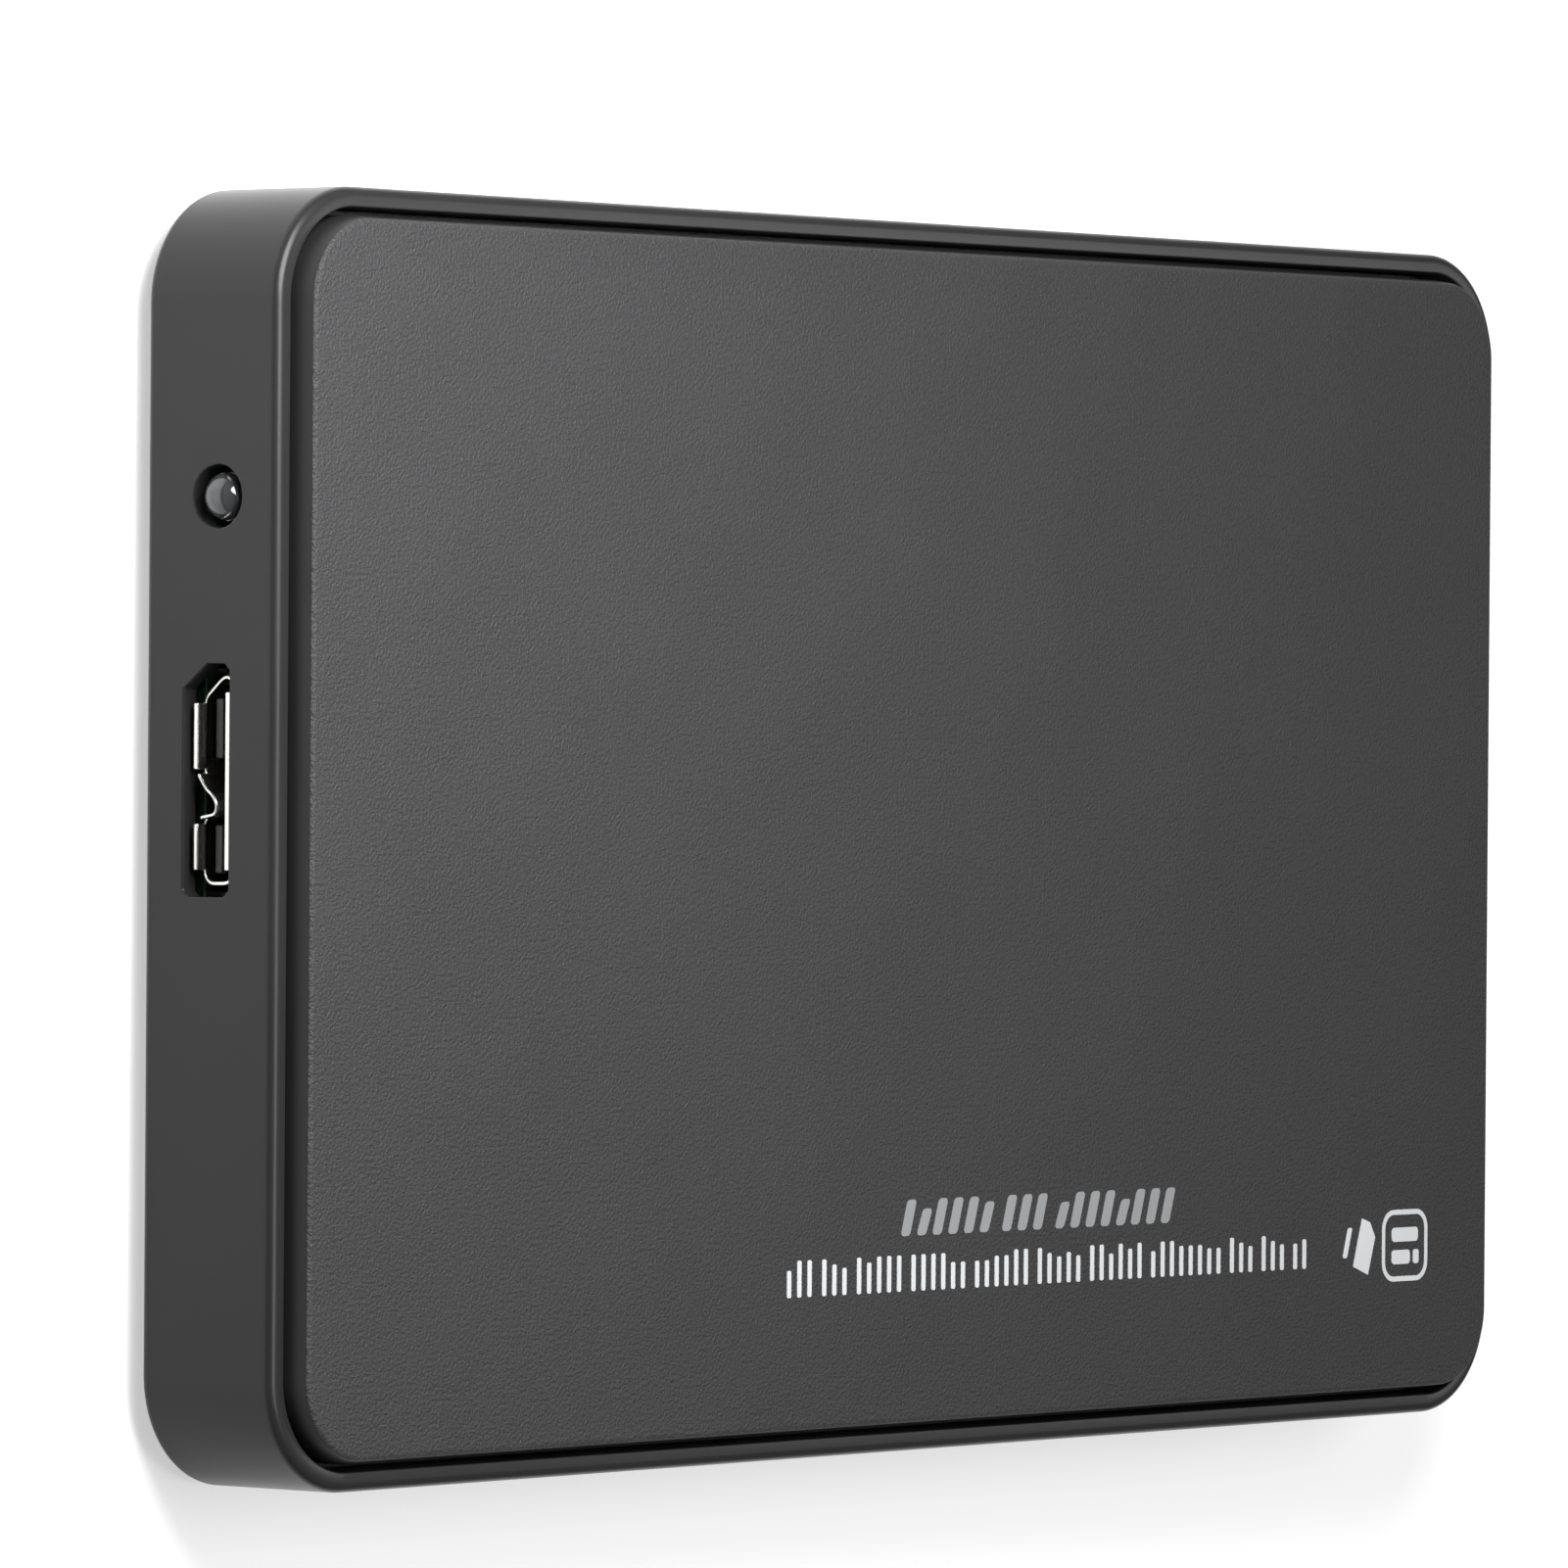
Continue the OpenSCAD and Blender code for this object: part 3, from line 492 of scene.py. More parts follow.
# ---- Foam pad ----
# A die-cut pad of soft black foam, glued to the tray's floor, keeps the drive from rattling. Its cut
# edges pull in a little below a crowned top, and the surface is open cells.
foam_low, foam_high = cad_corners("foam_pad")
foam_r, foam_least_r = 3, 0.8
edge = [(0, 0), (0.10, 0.2), (0.28, 0.9), (0.26, 1.4), (0.10, 1.75), (0.22, 2.0), (0.7, 2.17), (1.6, 2.22)]
edge += [(3.4 + 2.6 * i, 2.24 + 0.01 * i) for i in range(6)]
bm = bmesh.new()
loft(bm, [ring_in(foam_low, foam_high, inset, foam_low.z + z, max(foam_r - inset, foam_least_r), 10, along=24)
          for inset, z in edge])
for v in bm.verts:
    if v.co.z > foam_low.z + 2.1:
        dent = noise.noise(v.co * 0.16) * 0.5 + noise.noise(v.co * 0.42) * 0.3
        v.co.z -= max(0.0, dent) * 0.12
foam = mesh_object("foam_pad_soft", bm)
shade(foam, True)


def press_in(material, pattern, values, output, depth):
    """Puts a pattern's relief in the place of the material's grain."""
    tree = material.node_tree
    made = add_node(tree, pattern, values)
    relief = add_node(tree, "ShaderNodeBump", {"Distance": depth * mm})
    wire(tree, (tree.nodes["Texture Coordinate"], "Object", made, "Vector"), (made, output, relief, "Height"),
         (relief, "Normal", tree.nodes["Principled BSDF"], "Normal"))
    return material


foam_cell = 0.35
foam_black = press_in(plastic("foam", (0.021, 0.021, 0.023), 0.93, 0.5, 0.02, mottle=0.2, specular=0.25),
                      "ShaderNodeTexVoronoi", {"Scale": 1 / (foam_cell * mm)}, "Distance", 0.2)
assign(foam, "case", "foam_pad", foam_black)

# ---- Status lamp ----
# A 3 mm lamp is cast in clear epoxy with a flange at its foot. Two bent legs, one with the reflecting
# cup, are cast into it and go down through the bridge board.
lens_r = 1.475
flange_r = 1.875
flange_x = lamp_high.x - 1
lens_y, lens_z = lamp_middle.y, lamp_middle.z
bm = bmesh.new()
turns = [math.radians(a) for a in range(0, 91, 6)]
dome = [(lens_r * math.sin(a), lamp_low.x + lens_r * (1 - math.cos(a))) for a in turns]
dome += [(lens_r, flange_x - 0.12), (lens_r + 0.12, flange_x), (flange_r - 0.1, flange_x),
         (flange_r, flange_x + 0.1), (flange_r, lamp_high.x - 0.1), (flange_r - 0.1, lamp_high.x)]
turned_into(bm, dome, (0, lens_y, lens_z), sides=64, along_x=True)
lens = mesh_object("lamp_lens", bm)
shade(lens, True)
finish_mesh(lens)


def clear_epoxy(name, tint, roughness):
    """Cast epoxy: clear, with a faint flow pattern on its skin."""
    material = bpy.data.materials.new(name)
    material.use_nodes = True
    tree = material.node_tree
    shader = tree.nodes["Principled BSDF"]
    set_inputs(shader, {"Base Color": (*tint, 1), "IOR": 1.53, "Transmission Weight": 0.94})
    spot = add_node(tree, "ShaderNodeTexCoord")
    flow = add_node(tree, "ShaderNodeTexNoise", {"Scale": 900})
    ripple = add_node(tree, "ShaderNodeBump", {"Distance": 0.004 * mm})
    haze = add_node(tree, "ShaderNodeMapRange", {"To Min": roughness * 0.6, "To Max": roughness * 1.4})
    wire(tree, (spot, "Object", flow, "Vector"), (flow, "Fac", ripple, "Height"),
         (ripple, "Normal", shader, "Normal"), (flow, "Fac", haze, "Value"),
         (haze, "Result", shader, "Roughness"))
    return material


assign(lens, "case", "lamp", clear_epoxy("clear_epoxy", (0.42, 0.43, 0.45), 0.05))

lead_x = -55.35
lead_pitch = 2.54
lead_half = 0.25
post_half = 0.2
bm = bmesh.new()
for hand, reach in ((-1, 1.55), (1, 1.95)):
    y = lens_y + hand * lead_pitch / 2
    box_into(bm, (flange_x - 0.4, y - lead_half, lens_z - lead_half),
             (lead_x, y + lead_half, lens_z + lead_half), 0.05)
    box_into(bm, (lead_x - lead_half, y - lead_half, 3.4),
             (lead_x + lead_half, y + lead_half, lens_z + lead_half), 0.05)
    box_into(bm, (flange_x - 0.9, y + hand * lead_half, lens_z - post_half),
             (flange_x - 0.3, lens_y + hand * 0.12, lens_z + post_half), 0.04)
    box_into(bm, (flange_x - reach, lens_y + hand * 0.12, lens_z - post_half),
             (flange_x - 0.5, lens_y + hand * 0.62, lens_z + post_half), 0.04)
cup = [(0.05, 0.35), (0.28, 0.35), (0.52, 0.0), (0.6, 0.0), (0.45, 0.5), (0.05, 0.5)]
turned_into(bm, cup, (flange_x - 2.4, lens_y + 0.1, lens_z), sides=32, along_x=True)
legs = finish_mesh(mesh_object("lamp_legs", bm))


def metal(name, colour, roughness, scratch=0.12, stretch=(1, 1, 1), depth=0.003, tarnish=0.15):
    """Bare or plated metal: fine scratches that run one way if stretched, and an uneven shine."""
    material = bpy.data.materials.new(name)
    material.use_nodes = True
    tree = material.node_tree
    shader = tree.nodes["Principled BSDF"]
    shader.inputs["Metallic"].default_value = 1
    spot = add_node(tree, "ShaderNodeTexCoord")
    way = add_node(tree, "ShaderNodeMapping", {"Scale": stretch})
    lines = add_node(tree, "ShaderNodeTexNoise", {"Scale": 1 / (scratch * mm), "Detail": 3})
    cloud = add_node(tree, "ShaderNodeTexNoise", {"Scale": 260})
    tone = add_node(tree, "ShaderNodeMapRange", {"To Min": 1 - tarnish, "To Max": 1 + tarnish * 0.4})
    tinted = add_node(tree, "ShaderNodeVectorMath", {0: colour}, operation="SCALE")
    shine = add_node(tree, "ShaderNodeMapRange", {
        "To Min": max(roughness - 0.08, 0.04), "To Max": roughness + 0.1})
    relief = add_node(tree, "ShaderNodeBump", {"Distance": depth * mm})
    wire(tree, (spot, "Object", way, "Vector"), (way, "Vector", lines, "Vector"),
         (spot, "Object", cloud, "Vector"), (cloud, "Fac", tone, "Value"),
         (tone, "Result", tinted, "Scale"), (tinted, "Vector", shader, "Base Color"),
         (lines, "Fac", shine, "Value"), (shine, "Result", shader, "Roughness"),
         (lines, "Fac", relief, "Height"), (relief, "Normal", shader, "Normal"))
    return material


tinned = metal("tinned_lead", (0.62, 0.62, 0.60), 0.32)
assign(legs, "case", "lamp_leads", tinned)

# ---- Data socket ----
# The socket's shell is folded from nickel-plated steel. Its lips are thick on the straight runs, and a
# fold between the two rooms keys the plug. Feet at its sides are soldered to the bridge board.
shell_low, shell_high = cad_corners("usb_shell")
front_x = shell_low.x
mouth_x = front_x + 0.7
sheet_t = 0.22
half_w, half_h = 6.05, 1.0
fold = [(0.4, -half_h), (-0.45, half_h - 1.35), (-0.85, half_h - 0.8), (-1.35, half_h - 0.5),
        (-1.85, half_h - 0.5), (-2.15, half_h - 0.8), (-2.35, -half_h)]
rooms = [(-half_w + 0.35, half_h), (half_w - 0.3, half_h), (half_w, half_h - 0.3), (half_w, half_h - 0.65),
         (half_w - 1.2, -half_h)] + fold
rooms += [(-half_w + 0.35, -half_h), (-half_w, -half_h + 0.35), (-half_w, half_h - 0.35)]


def soft_corners(points, radius, steps=4):
    """Outline with a curve in place of each corner."""
    made = []
    for i, corner in enumerate(points):
        before, here, after = Vector(points[i - 1]), Vector(corner), Vector(points[(i + 1) % len(points)])
        back, on = before - here, after - here
        start = here + back.normalized() * min(radius, 0.45 * back.length)
        end = here + on.normalized() * min(radius, 0.45 * on.length)
        for step in range(steps + 1):
            t = step / steps
            made.append(start.lerp(here, t).lerp(here.lerp(end, t), t))
    return made


def normals_of(points, closed=True):
    """Outward direction at each point of an outline that runs clockwise."""
    out = []
    for i, here in enumerate(points):
        before = points[i - 1] if closed or i else here
        after = points[(i + 1) % len(points)] if closed or i < len(points) - 1 else here
        along = (after - before).normalized()
        out.append(Vector((-along.y, along.x)))
    return out


def in_wall(x, p, way=Vector((0, 0)), by=0.0):
    """Point of an outline in the plane of the end wall, moved that way."""
    return Vector((x, port_y + p.x + way.x * by, port_z + p.y + way.y * by))


tube = soft_corners(rooms, 0.3)
outward = normals_of(tube)
bm = bmesh.new()
loft(bm, [[in_wall(x, p, n, by) for p, n in zip(tube, outward)] for x, by in (
    (mouth_x, sheet_t), (shell_high.x, sheet_t), (shell_high.x, 0), (mouth_x, 0))], close=True)
thick_lip = 0.42
lip_round, lip_edge, lip_root = 0.08, 0.06, 0.2
# each run of the lip: its points, how far it flares, and its thickness
runs = [([(-half_w + 0.7, half_h), (half_w - 0.8, half_h)], 0.06, thick_lip),
        ([(half_w - 1.45, -half_h), (0.65, -half_h)], 0.04, thick_lip),
        ([(-2.6, -half_h), (-half_w + 0.7, -half_h)], 0.04, thick_lip),
        ([p for p in tube if fold[-1][0] - 0.03 < p.x < fold[0][0] + 0.02], 0, sheet_t)]
for points, flare, thick in runs:
    run = [Vector(p) for p in points]
    loft(bm, [[in_wall(mouth_x + lip_root, p), in_wall(mouth_x, p), in_wall(front_x + lip_edge, p, n, flare),
               in_wall(front_x, p, n, flare + lip_round), in_wall(front_x, p, n, flare + thick - lip_round),
               in_wall(front_x + lip_edge, p, n, flare + thick), in_wall(mouth_x, p, n, sheet_t),
               in_wall(mouth_x + lip_root, p, n, sheet_t)]
              for p, n in zip(run, normals_of(run, closed=False))])
for hand in (-1, 1):
    for x in (2.6, 6):
        y = port_y + hand * (half_w + 0.6)
        box_into(bm, (front_x + x - 0.6, y - 0.3, 4.9), (front_x + x + 0.6, y, 6.85), 0.05)
socket_shell = mesh_object("socket_shell", bm)
shade(socket_shell, True)
finish_mesh(socket_shell, bevel=0.05, angle=50)
nickel = metal("plated_steel", (0.58, 0.57, 0.54), 0.22, stretch=(0.2, 1, 1))
assign(socket_shell, "case", "usb_shell", nickel)

# Black moulded insulator: a plug of plastic closes the shell's back and carries two tongues.
block_x = shell_high.x - 2.2
ridge_pitch = 0.55
bm = bmesh.new()
loft(bm, [[in_wall(x, p, n, -0.02) for p, n in zip(tube, outward)] for x in (block_x, shell_high.x)])
for middle, width in ((-4.1, 2.9), (3.1, 3.6)):
    y = port_y + middle
    box_into(bm, (front_x + 1, y - width / 2, 5.7), (block_x + 0.2, y + width / 2, 6.3), 0.12, 3)
    for i in range(-3, 3):
        ridge = y + (i + 0.5) * ridge_pitch
        box_into(bm, (front_x + 1.15, ridge - 0.08, 6.2), (block_x, ridge + 0.08, 6.36), 0.02)
tongue_block = finish_mesh(mesh_object("socket_insulator", bm))
nylon = plastic("black_nylon", (0.012, 0.011, 0.010), 0.42, 0.3, 0.004, mottle=0.15)
assign(tongue_block, "case", "usb_insulator", nylon)

# The gold contacts keep their CAD shape and get a better finish.
gold = metal("gold_plate", (0.90, 0.62, 0.25), 0.24, stretch=(0.15, 1, 1))
for contacts in ("usb_contacts", "sata_contacts", "plug_contacts"):
    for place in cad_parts[contacts].material_slots:
        place.material = gold

# ---- Bridge board ----
# A green glass-epoxy board, masked on both sides, with etched copper under the mask and tinned pads
# where parts are soldered. Two self-tapping screws hold it on the tray's bosses.
board_low, board_high = cad_corners("bridge_board")
board_top = board_high.z
board_soft = 0.08
copper_t = 0.03
chip_x, chip_y, flash_y = -57.05, -9.6, -16.6
chip_pitch = 0.55
contact_pitch = 1.27
feet_x = -53.3


def board_blank(name, low, high, holes, nick=0.4):
    """A flat board with small corner rounds and drilled holes: (x, y, radius) each."""
    bm = bmesh.new()
    loft(bm, [ring_in(low, high, inset, z, nick, 4) for inset, z in (
        (board_soft, low.z), (0, low.z + board_soft), (0, high.z - board_soft), (board_soft, high.z))])
    blank = mesh_object(name, bm)
    bm = bmesh.new()
    for x, y, radius in holes:
        rod_into(bm, radius, (x, y, low.z - 1), (x, y, high.z + 1), 32)
    cut_away(blank, mesh_object(name + "_drill", bm))
    shade(blank, False)
    return blank


def ribbon_into(bm, path, width, z, thick):
    """Lays a flat strip along a path of (x, y) points."""
    rings = []
    for i, here in enumerate(path):
        before, after = Vector(path[max(i - 1, 0)]), Vector(path[min(i + 1, len(path) - 1)])
        along = (after - before).normalized()
        across = Vector((-along.y, along.x)) * width / 2
        a, b = Vector(here) + across, Vector(here) - across
        rings.append([Vector((*a, z)), Vector((*b, z)), Vector((*b, z + thick)), Vector((*a, z + thick))])
    loft(bm, rings)


def track_into(bm, path, width, face_z):
    """Lays a copper track, half sunk in a board's face."""
    ribbon_into(bm, path, width, face_z - copper_t / 2, copper_t)


holes = [(x, y, 1.2) for x, y in bosses]
holes += [(lead_x, lens_y + hand * lead_pitch / 2, 0.375) for hand in (-1, 1)]
blank = board_blank("bridge_blank", board_low, board_high, holes)
bm = bmesh.new()
for i in range(7):
    y = 10.8 - contact_pitch * i
    track_into(bm, [(feet_x - 0.7, y), (feet_x - 1.5, y - 0.5), (feet_x - 1.5, chip_y + 4.6 + 0.45 * (3 - i))],
               0.18, board_top)
for i in range(15):
    y = -19 + contact_pitch * i
    track_into(bm, [(feet_x - 0.7, y), (feet_x - 1.2, y + 0.25), (feet_x - 1.2, y + 1)], 0.2, board_top)
for i in range(4):
    x = chip_x + (i - 1.5) * chip_pitch
    spread = x + 0.2 * (i - 1.5)
    track_into(bm, [(x, chip_y - 3.4), (spread, chip_y - 4), (spread, flash_y + 3)], 0.16, board_top)
    x = -60.2 + 1.6 * i
    track_into(bm, [(x, 13.4), (x, 16.2)], 0.2, board_top)
board = gather("bridge_board_masked", blank, mesh_object("bridge_tracks", bm))
# the wave pattern's light and dark strands in one unit, at a scale of 1
strands = 6.3


def board_mask(name, colour, weave=0.5):
    """Glossy mask over a woven glass board: the weave shows faintly, and the tone wanders."""
    return press_in(plastic(name, colour, 0.32, 0.5, 0.004, mottle=0.2), "ShaderNodeTexWave",
                    {"Scale": 1 / (weave * mm) / strands, "Distortion": 1.5}, "Fac", 0.004)


# The mask's green is darkened almost to black: painted shade, standing for the shade inside the case where the
# board shows through the socket's opening.
assign(board, "case", "bridge_board", board_mask("green_board", (0.002, 0.011, 0.0052)))

# Tinned pads and rings stand a little proud of the mask. Small parts lie along the board or across it.
part_step = 1.6
capacitors = [(1 + part_step * i, -4.9, 1) for i in range(4)] + [(6.6, -23.9 + 1.5 * i, 0) for i in range(3)]
capacitors += [(11 + part_step * i, 15.6, 1) for i in range(2)]
resistors = [(1 + part_step * i, 11.6, 0) for i in range(4)]
resistors += [(1 + part_step * i, 17.2, 0) for i in range(3)] + [(0.7, -16.6, 1)]
pad_half = 0.3
bm = bmesh.new()
for places, span, width in ((capacitors, 1.6, 0.9), (resistors, 1.0, 0.6)):
    for x, y, turned in places:
        for hand in (-1, 1):
            dx, dy = ((hand * span / 2, 0), (0, hand * span / 2))[turned]
            half_x, half_y = ((pad_half, width / 2), (width / 2, pad_half))[turned]
            pad_x, pad_y = board_low.x + x + dx, y + dy
            box_into(bm, (pad_x - half_x, pad_y - half_y, board_top - copper_t),
                     (pad_x + half_x, pad_y + half_y, board_top + copper_t))
for x, y, radius in holes:
    outer = radius + (0.8 if radius > 1 else 0.35)
    ring = [(radius, -copper_t), (outer, -copper_t), (outer, copper_t), (radius, copper_t)]
    turned_into(bm, ring, (x, y, board_top), 32, close=True)
assign(mesh_object("bridge_pads", bm), "case", finish=tinned)

# ---- Screws ----
# Pan-head screws with a cross recess. The bridge board's two cut their own thread in the plastic bosses;
# the drive's black ones are sunk in its aluminium shell.


def cross_screw(name, head_r, head_h, shank_r, length, pitch):
    """One screw, its head's top at the origin, with a cross recess and a ridged shank."""
    core = shank_r * 0.8
    side = [(0, -length), (shank_r * 0.45, -length + 0.1)]
    for i in range(int((length - head_h - 0.2) / pitch)):
        z = -length + 0.15 + i * pitch
        side += [(core, z), (shank_r, z + pitch * 0.5), (core, z + pitch)]
    side += [(core, -head_h), (head_r * 0.93, -head_h), (head_r, -head_h + 0.06), (head_r, -head_h * 0.55)]
    for a in (75, 60, 45, 30, 15):
        lean = math.radians(a)
        side.append((head_r * math.sin(lean) * 0.98, -head_h * 0.5 * (1 - math.cos(lean))))
    bm = bmesh.new()
    turned_into(bm, side + [(0, 0)], (0, 0, 0), 32)
    screw = mesh_object(name, bm)
    arm, half, depth, over = head_r * 0.56, head_r * 0.115, head_h * 0.62, 0.2
    corners = [(-arm, over), (-arm * 0.35, -depth), (arm * 0.35, -depth), (arm, over)]
    bm = bmesh.new()
    for a in (0, 90):
        spin = Matrix.Rotation(math.radians(a), 4, "Z")
        loft(bm, [[spin @ Vector((x, y, z)) for x, z in corners] for y in (-half, half)])
    cut_away(screw, mesh_object(name + "_recess", bm), crossing=True)
    return screw


def layout_tree(name, sizes):
    """Starts a geometry node tree with a named input for each size."""
    tree = bpy.data.node_groups.new(name, "GeometryNodeTree")
    tree.interface.new_socket("Places", in_out="INPUT", socket_type="NodeSocketGeometry")
    ids = {}
    for label, kind in sizes.items():
        made = tree.interface.new_socket(label, in_out="INPUT", socket_type="NodeSocket" + kind)
        ids[label] = made.identifier
    tree.interface.new_socket("Made", in_out="OUTPUT", socket_type="NodeSocketGeometry")
    return tree, add_node(tree, "NodeGroupInput"), add_node(tree, "NodeGroupOutput"), ids


def finish_tree(tree, source, sink, points, output):
    """Ends a tree: the unit is put on each point, made real and given its finish. The step that puts it is
    returned, for the caller to turn.
    """
    unit = add_node(tree, "GeometryNodeObjectInfo")
    copies = add_node(tree, "GeometryNodeInstanceOnPoints")
    real = add_node(tree, "GeometryNodeRealizeInstances")
    coat = add_node(tree, "GeometryNodeSetMaterial")
    wire(tree, (source, "Unit", unit, "Object"), (points, output, copies, "Points"),
         (unit, "Geometry", copies, "Instance"), (copies, "Instances", real, "Geometry"),
         (real, "Geometry", coat, "Geometry"), (source, "Finish", coat, "Material"),
         (coat, "Geometry", sink, "Made"))
    return copies


# lays a unit on each vertex of a mesh, turned by the vertex's own angle
scatter_tree, source, sink, scatter_ids = layout_tree(
    "set_on_places", {"Unit": "Object", "Finish": "Material"})
copies = finish_tree(scatter_tree, source, sink, source, "Places")
angle = add_node(scatter_tree, "GeometryNodeInputNamedAttribute", {"Name": "turn"}, data_type="FLOAT")
upright = add_node(scatter_tree, "ShaderNodeCombineXYZ")
spin = add_node(scatter_tree, "FunctionNodeEulerToRotation")
wire(scatter_tree, (angle, "Attribute", upright, "Z"), (upright, "Vector", spin, "Euler"),
     (spin, "Rotation", copies, "Rotation"))

# lays a unit in a row: so many of them, from a start, one step apart
row_tree, source, sink, row_ids = layout_tree("set_in_row", {
    "Unit": "Object", "Finish": "Material", "Count": "Int", "Start": "Vector", "Step": "Vector"})
line = add_node(row_tree, "GeometryNodeMeshLine", mode="OFFSET")
wire(row_tree, (source, "Count", line, "Count"), (source, "Start", line, "Start Location"),
     (source, "Step", line, "Offset"))
finish_tree(row_tree, source, sink, line, "Mesh")


def grow(piece, tree, ids, values):
    """Runs a layout tree on a piece, leaves it a plain mesh, and deletes the unit."""
    layout = piece.modifiers.new("layout", "NODES")
    layout.node_group = tree
    for label, value in values.items():
        layout[ids[label]] = value
    settle(piece)
    bpy.data.objects.remove(values["Unit"])
    return piece


def set_on_places(name, unit, places, material):
    """One mesh with the unit at each place: (x, y, z, degrees)."""
    mesh = bpy.data.meshes.new(name)
    mesh.from_pydata([(x * mm, y * mm, z * mm) for x, y, z, turned in places], [], [])
    turns = mesh.attributes.new("turn", "FLOAT", "POINT")
    for i, place in enumerate(places):
        turns.data[i].value = math.radians(place[3])
    return grow(put_in_scene(name, mesh), scatter_tree, scatter_ids, {"Finish": material, "Unit": unit})


def set_in_row(name, unit, count, start, step, material):
    """One mesh with the unit repeated from a start, one step apart."""
    return grow(put_in_scene(name, bpy.data.meshes.new(name)), row_tree, row_ids, {
        "Finish": material, "Count": count, "Start": [c * mm for c in start], "Step": [c * mm for c in step],
        "Unit": unit})


zinc = metal("zinc_steel", (0.66, 0.66, 0.64), 0.3, scratch=0.2)
head_h = 1.2
screw = cross_screw("board_screw", 1.9, head_h, 0.85, 4.1, 0.4)
fixings = set_on_places("bridge_screws", screw, [(x, y, board_top + head_h, 20) for x, y in bosses], zinc)
assign(fixings, "case", "board_screws")

black_zinc = metal("black_steel", (0.10, 0.10, 0.105), 0.38, scratch=0.2)
screw_in = 3.2
head_z = 10.85
corners = [(x, hand * (drive_high.y - screw_in), head_z, 35 * hand + 8)
           for x in (drive_low.x + screw_in, drive_high.x - screw_in) for hand in (-1, 1)]
screw = cross_screw("drive_screw", 1.45, 0.8, 0.7, 5.7, 0.35)
assign(set_on_places("shell_screws", screw, corners, black_zinc), "drive", "drive_screws")

inner = [(16.15, hand * 29.8, 8.7, 15 * hand) for hand in (-1, 1)]
screw = cross_screw("inner_screw", 1.45, 0.8, 0.7, 3.0, 0.35)
assign(set_on_places("inner_screws", screw, inner, zinc), "drive", "drive_board_screws")

# ---- Drive receptacle ----
# A black moulding on the bridge board holds 22 spring contacts. Its nose reaches into the drive and
# takes the drive's two tongues; a slot over each contact lets it flex.
socket_low, socket_high = cad_corners("sata_receptacle")
plug_y, plug_z = -4.8, 7.4
plug_low_z, plug_high_z = 4.8, 10
nose_x = socket_high.x
body_x = socket_low.x + 5.7
# where each of the drive's tongues starts across the drive, and its length
edge_tongues = [(-16.2, 20.3), (6.1, 10.1)]
bm = bmesh.new()
sections = [(socket_low.x, 18.6, 4.9, 10), (body_x, 18.6, 4.9, 10), (body_x, 17, 5.3, 9.5),
            (nose_x - 0.5, 17, 5.3, 9.5), (nose_x, 16.6, 5.6, 9.2)]
loft(bm, [[Vector((x, plug_y + y, z)) for y, z in ((-w, low_z), (w, low_z), (w, high_z), (-w, high_z))]
          for x, w, low_z, high_z in sections])
receptacle = mesh_object("drive_receptacle", bm)
contact_ys = [plug_y - 14.2 + contact_pitch * i for i in range(15)]
contact_ys += [plug_y + 15.6 - contact_pitch * i for i in range(7)]
well_room = 0.15
bm = bmesh.new()
for start, length in edge_tongues:
    low_y = plug_y + start - well_room
    box_into(bm, (nose_x - 4.7, low_y, 6.65), (nose_x + 1, low_y + length + 2 * well_room, 8.15))
    box_into(bm, (nose_x - 4.7, low_y, 5.55), (nose_x + 1, low_y + 1.6, 7))
for y in contact_ys:
    box_into(bm, (socket_low.x + 1, y - 0.42, 9.65), (body_x - 0.9, y + 0.42, 11))
cut_away(receptacle, mesh_object("receptacle_wells", bm), crossing=True)
finish_mesh(receptacle, bevel=0.08)
assign(receptacle, "case", "sata_receptacle", nylon)

# ---- Chips ----
# Each chip is moulded in black epoxy. The two mould halves lean away from a parting line, and a round
# dent marks the first lead. The bridge board's two chips stand on formed gull-wing leads.
chip_epoxy = plastic("chip_epoxy", (0.012, 0.012, 0.013), 0.62, 0.05, 0.006, mottle=0.15)
draft, chip_soft = 0.06, 0.05
seam, seam_half = 0.012, 0.02


def chip(name, node, body, dent_r):
    """A moulded package in the place of a CAD chip."""
    low, high = cad_corners(node)
    parting = low.z + (high.z - low.z) * 0.45
    bm = bmesh.new()
    loft(bm, [ring_in(low, high, inset, z, 0.25, 3) for inset, z in (
        (draft + chip_soft, low.z), (draft, low.z + chip_soft), (seam, parting - seam_half), (0, parting),
        (seam, parting + seam_half), (draft, high.z - chip_soft), (draft + chip_soft, high.z))])
    package = mesh_object(name, bm)
    dish = [(0, -0.06), (dent_r * 0.8, -0.05), (dent_r, 0.001), (dent_r, 0.1), (0, 0.1)]
    bm = bmesh.new()
    turned_into(bm, dish, (low.x + 3 * dent_r, high.y - 3 * dent_r, high.z), 24)
    cut_away(package, mesh_object(name + "_dent", bm))
    shade(package, False)
    assign(package, body, node, chip_epoxy)


chip("bridge_chip_package", "bridge_chip", "case", 0.25)
chip("flash_chip_package", "flash_chip", "case", 0.25)
chip("controller_package", "controller", "drive", 0.45)
chip("memory_package", "memory_chip", "drive", 0.35)
for i in range(1, 5):
    chip(f"storage_package_{i}", f"nand_{i}", "drive", 0.45)


def gull_wing(name, width):
    """One formed lead that leaves a package's side towards +Y, its foot on the board."""
    outline = [(-0.1, 0.6), (0.32, 0.6), (0.46, 0.53), (0.62, 0.2), (0.72, 0.14), (1, 0.14),
               (1, 0), (0.62, 0), (0.5, 0.06), (0.36, 0.4), (0.28, 0.46), (-0.1, 0.46)]
    bm = bmesh.new()
    loft(bm, [[Vector((x, y, z)) for y, z in outline] for x in (-width / 2, width / 2)])
    return mesh_object(name, bm)


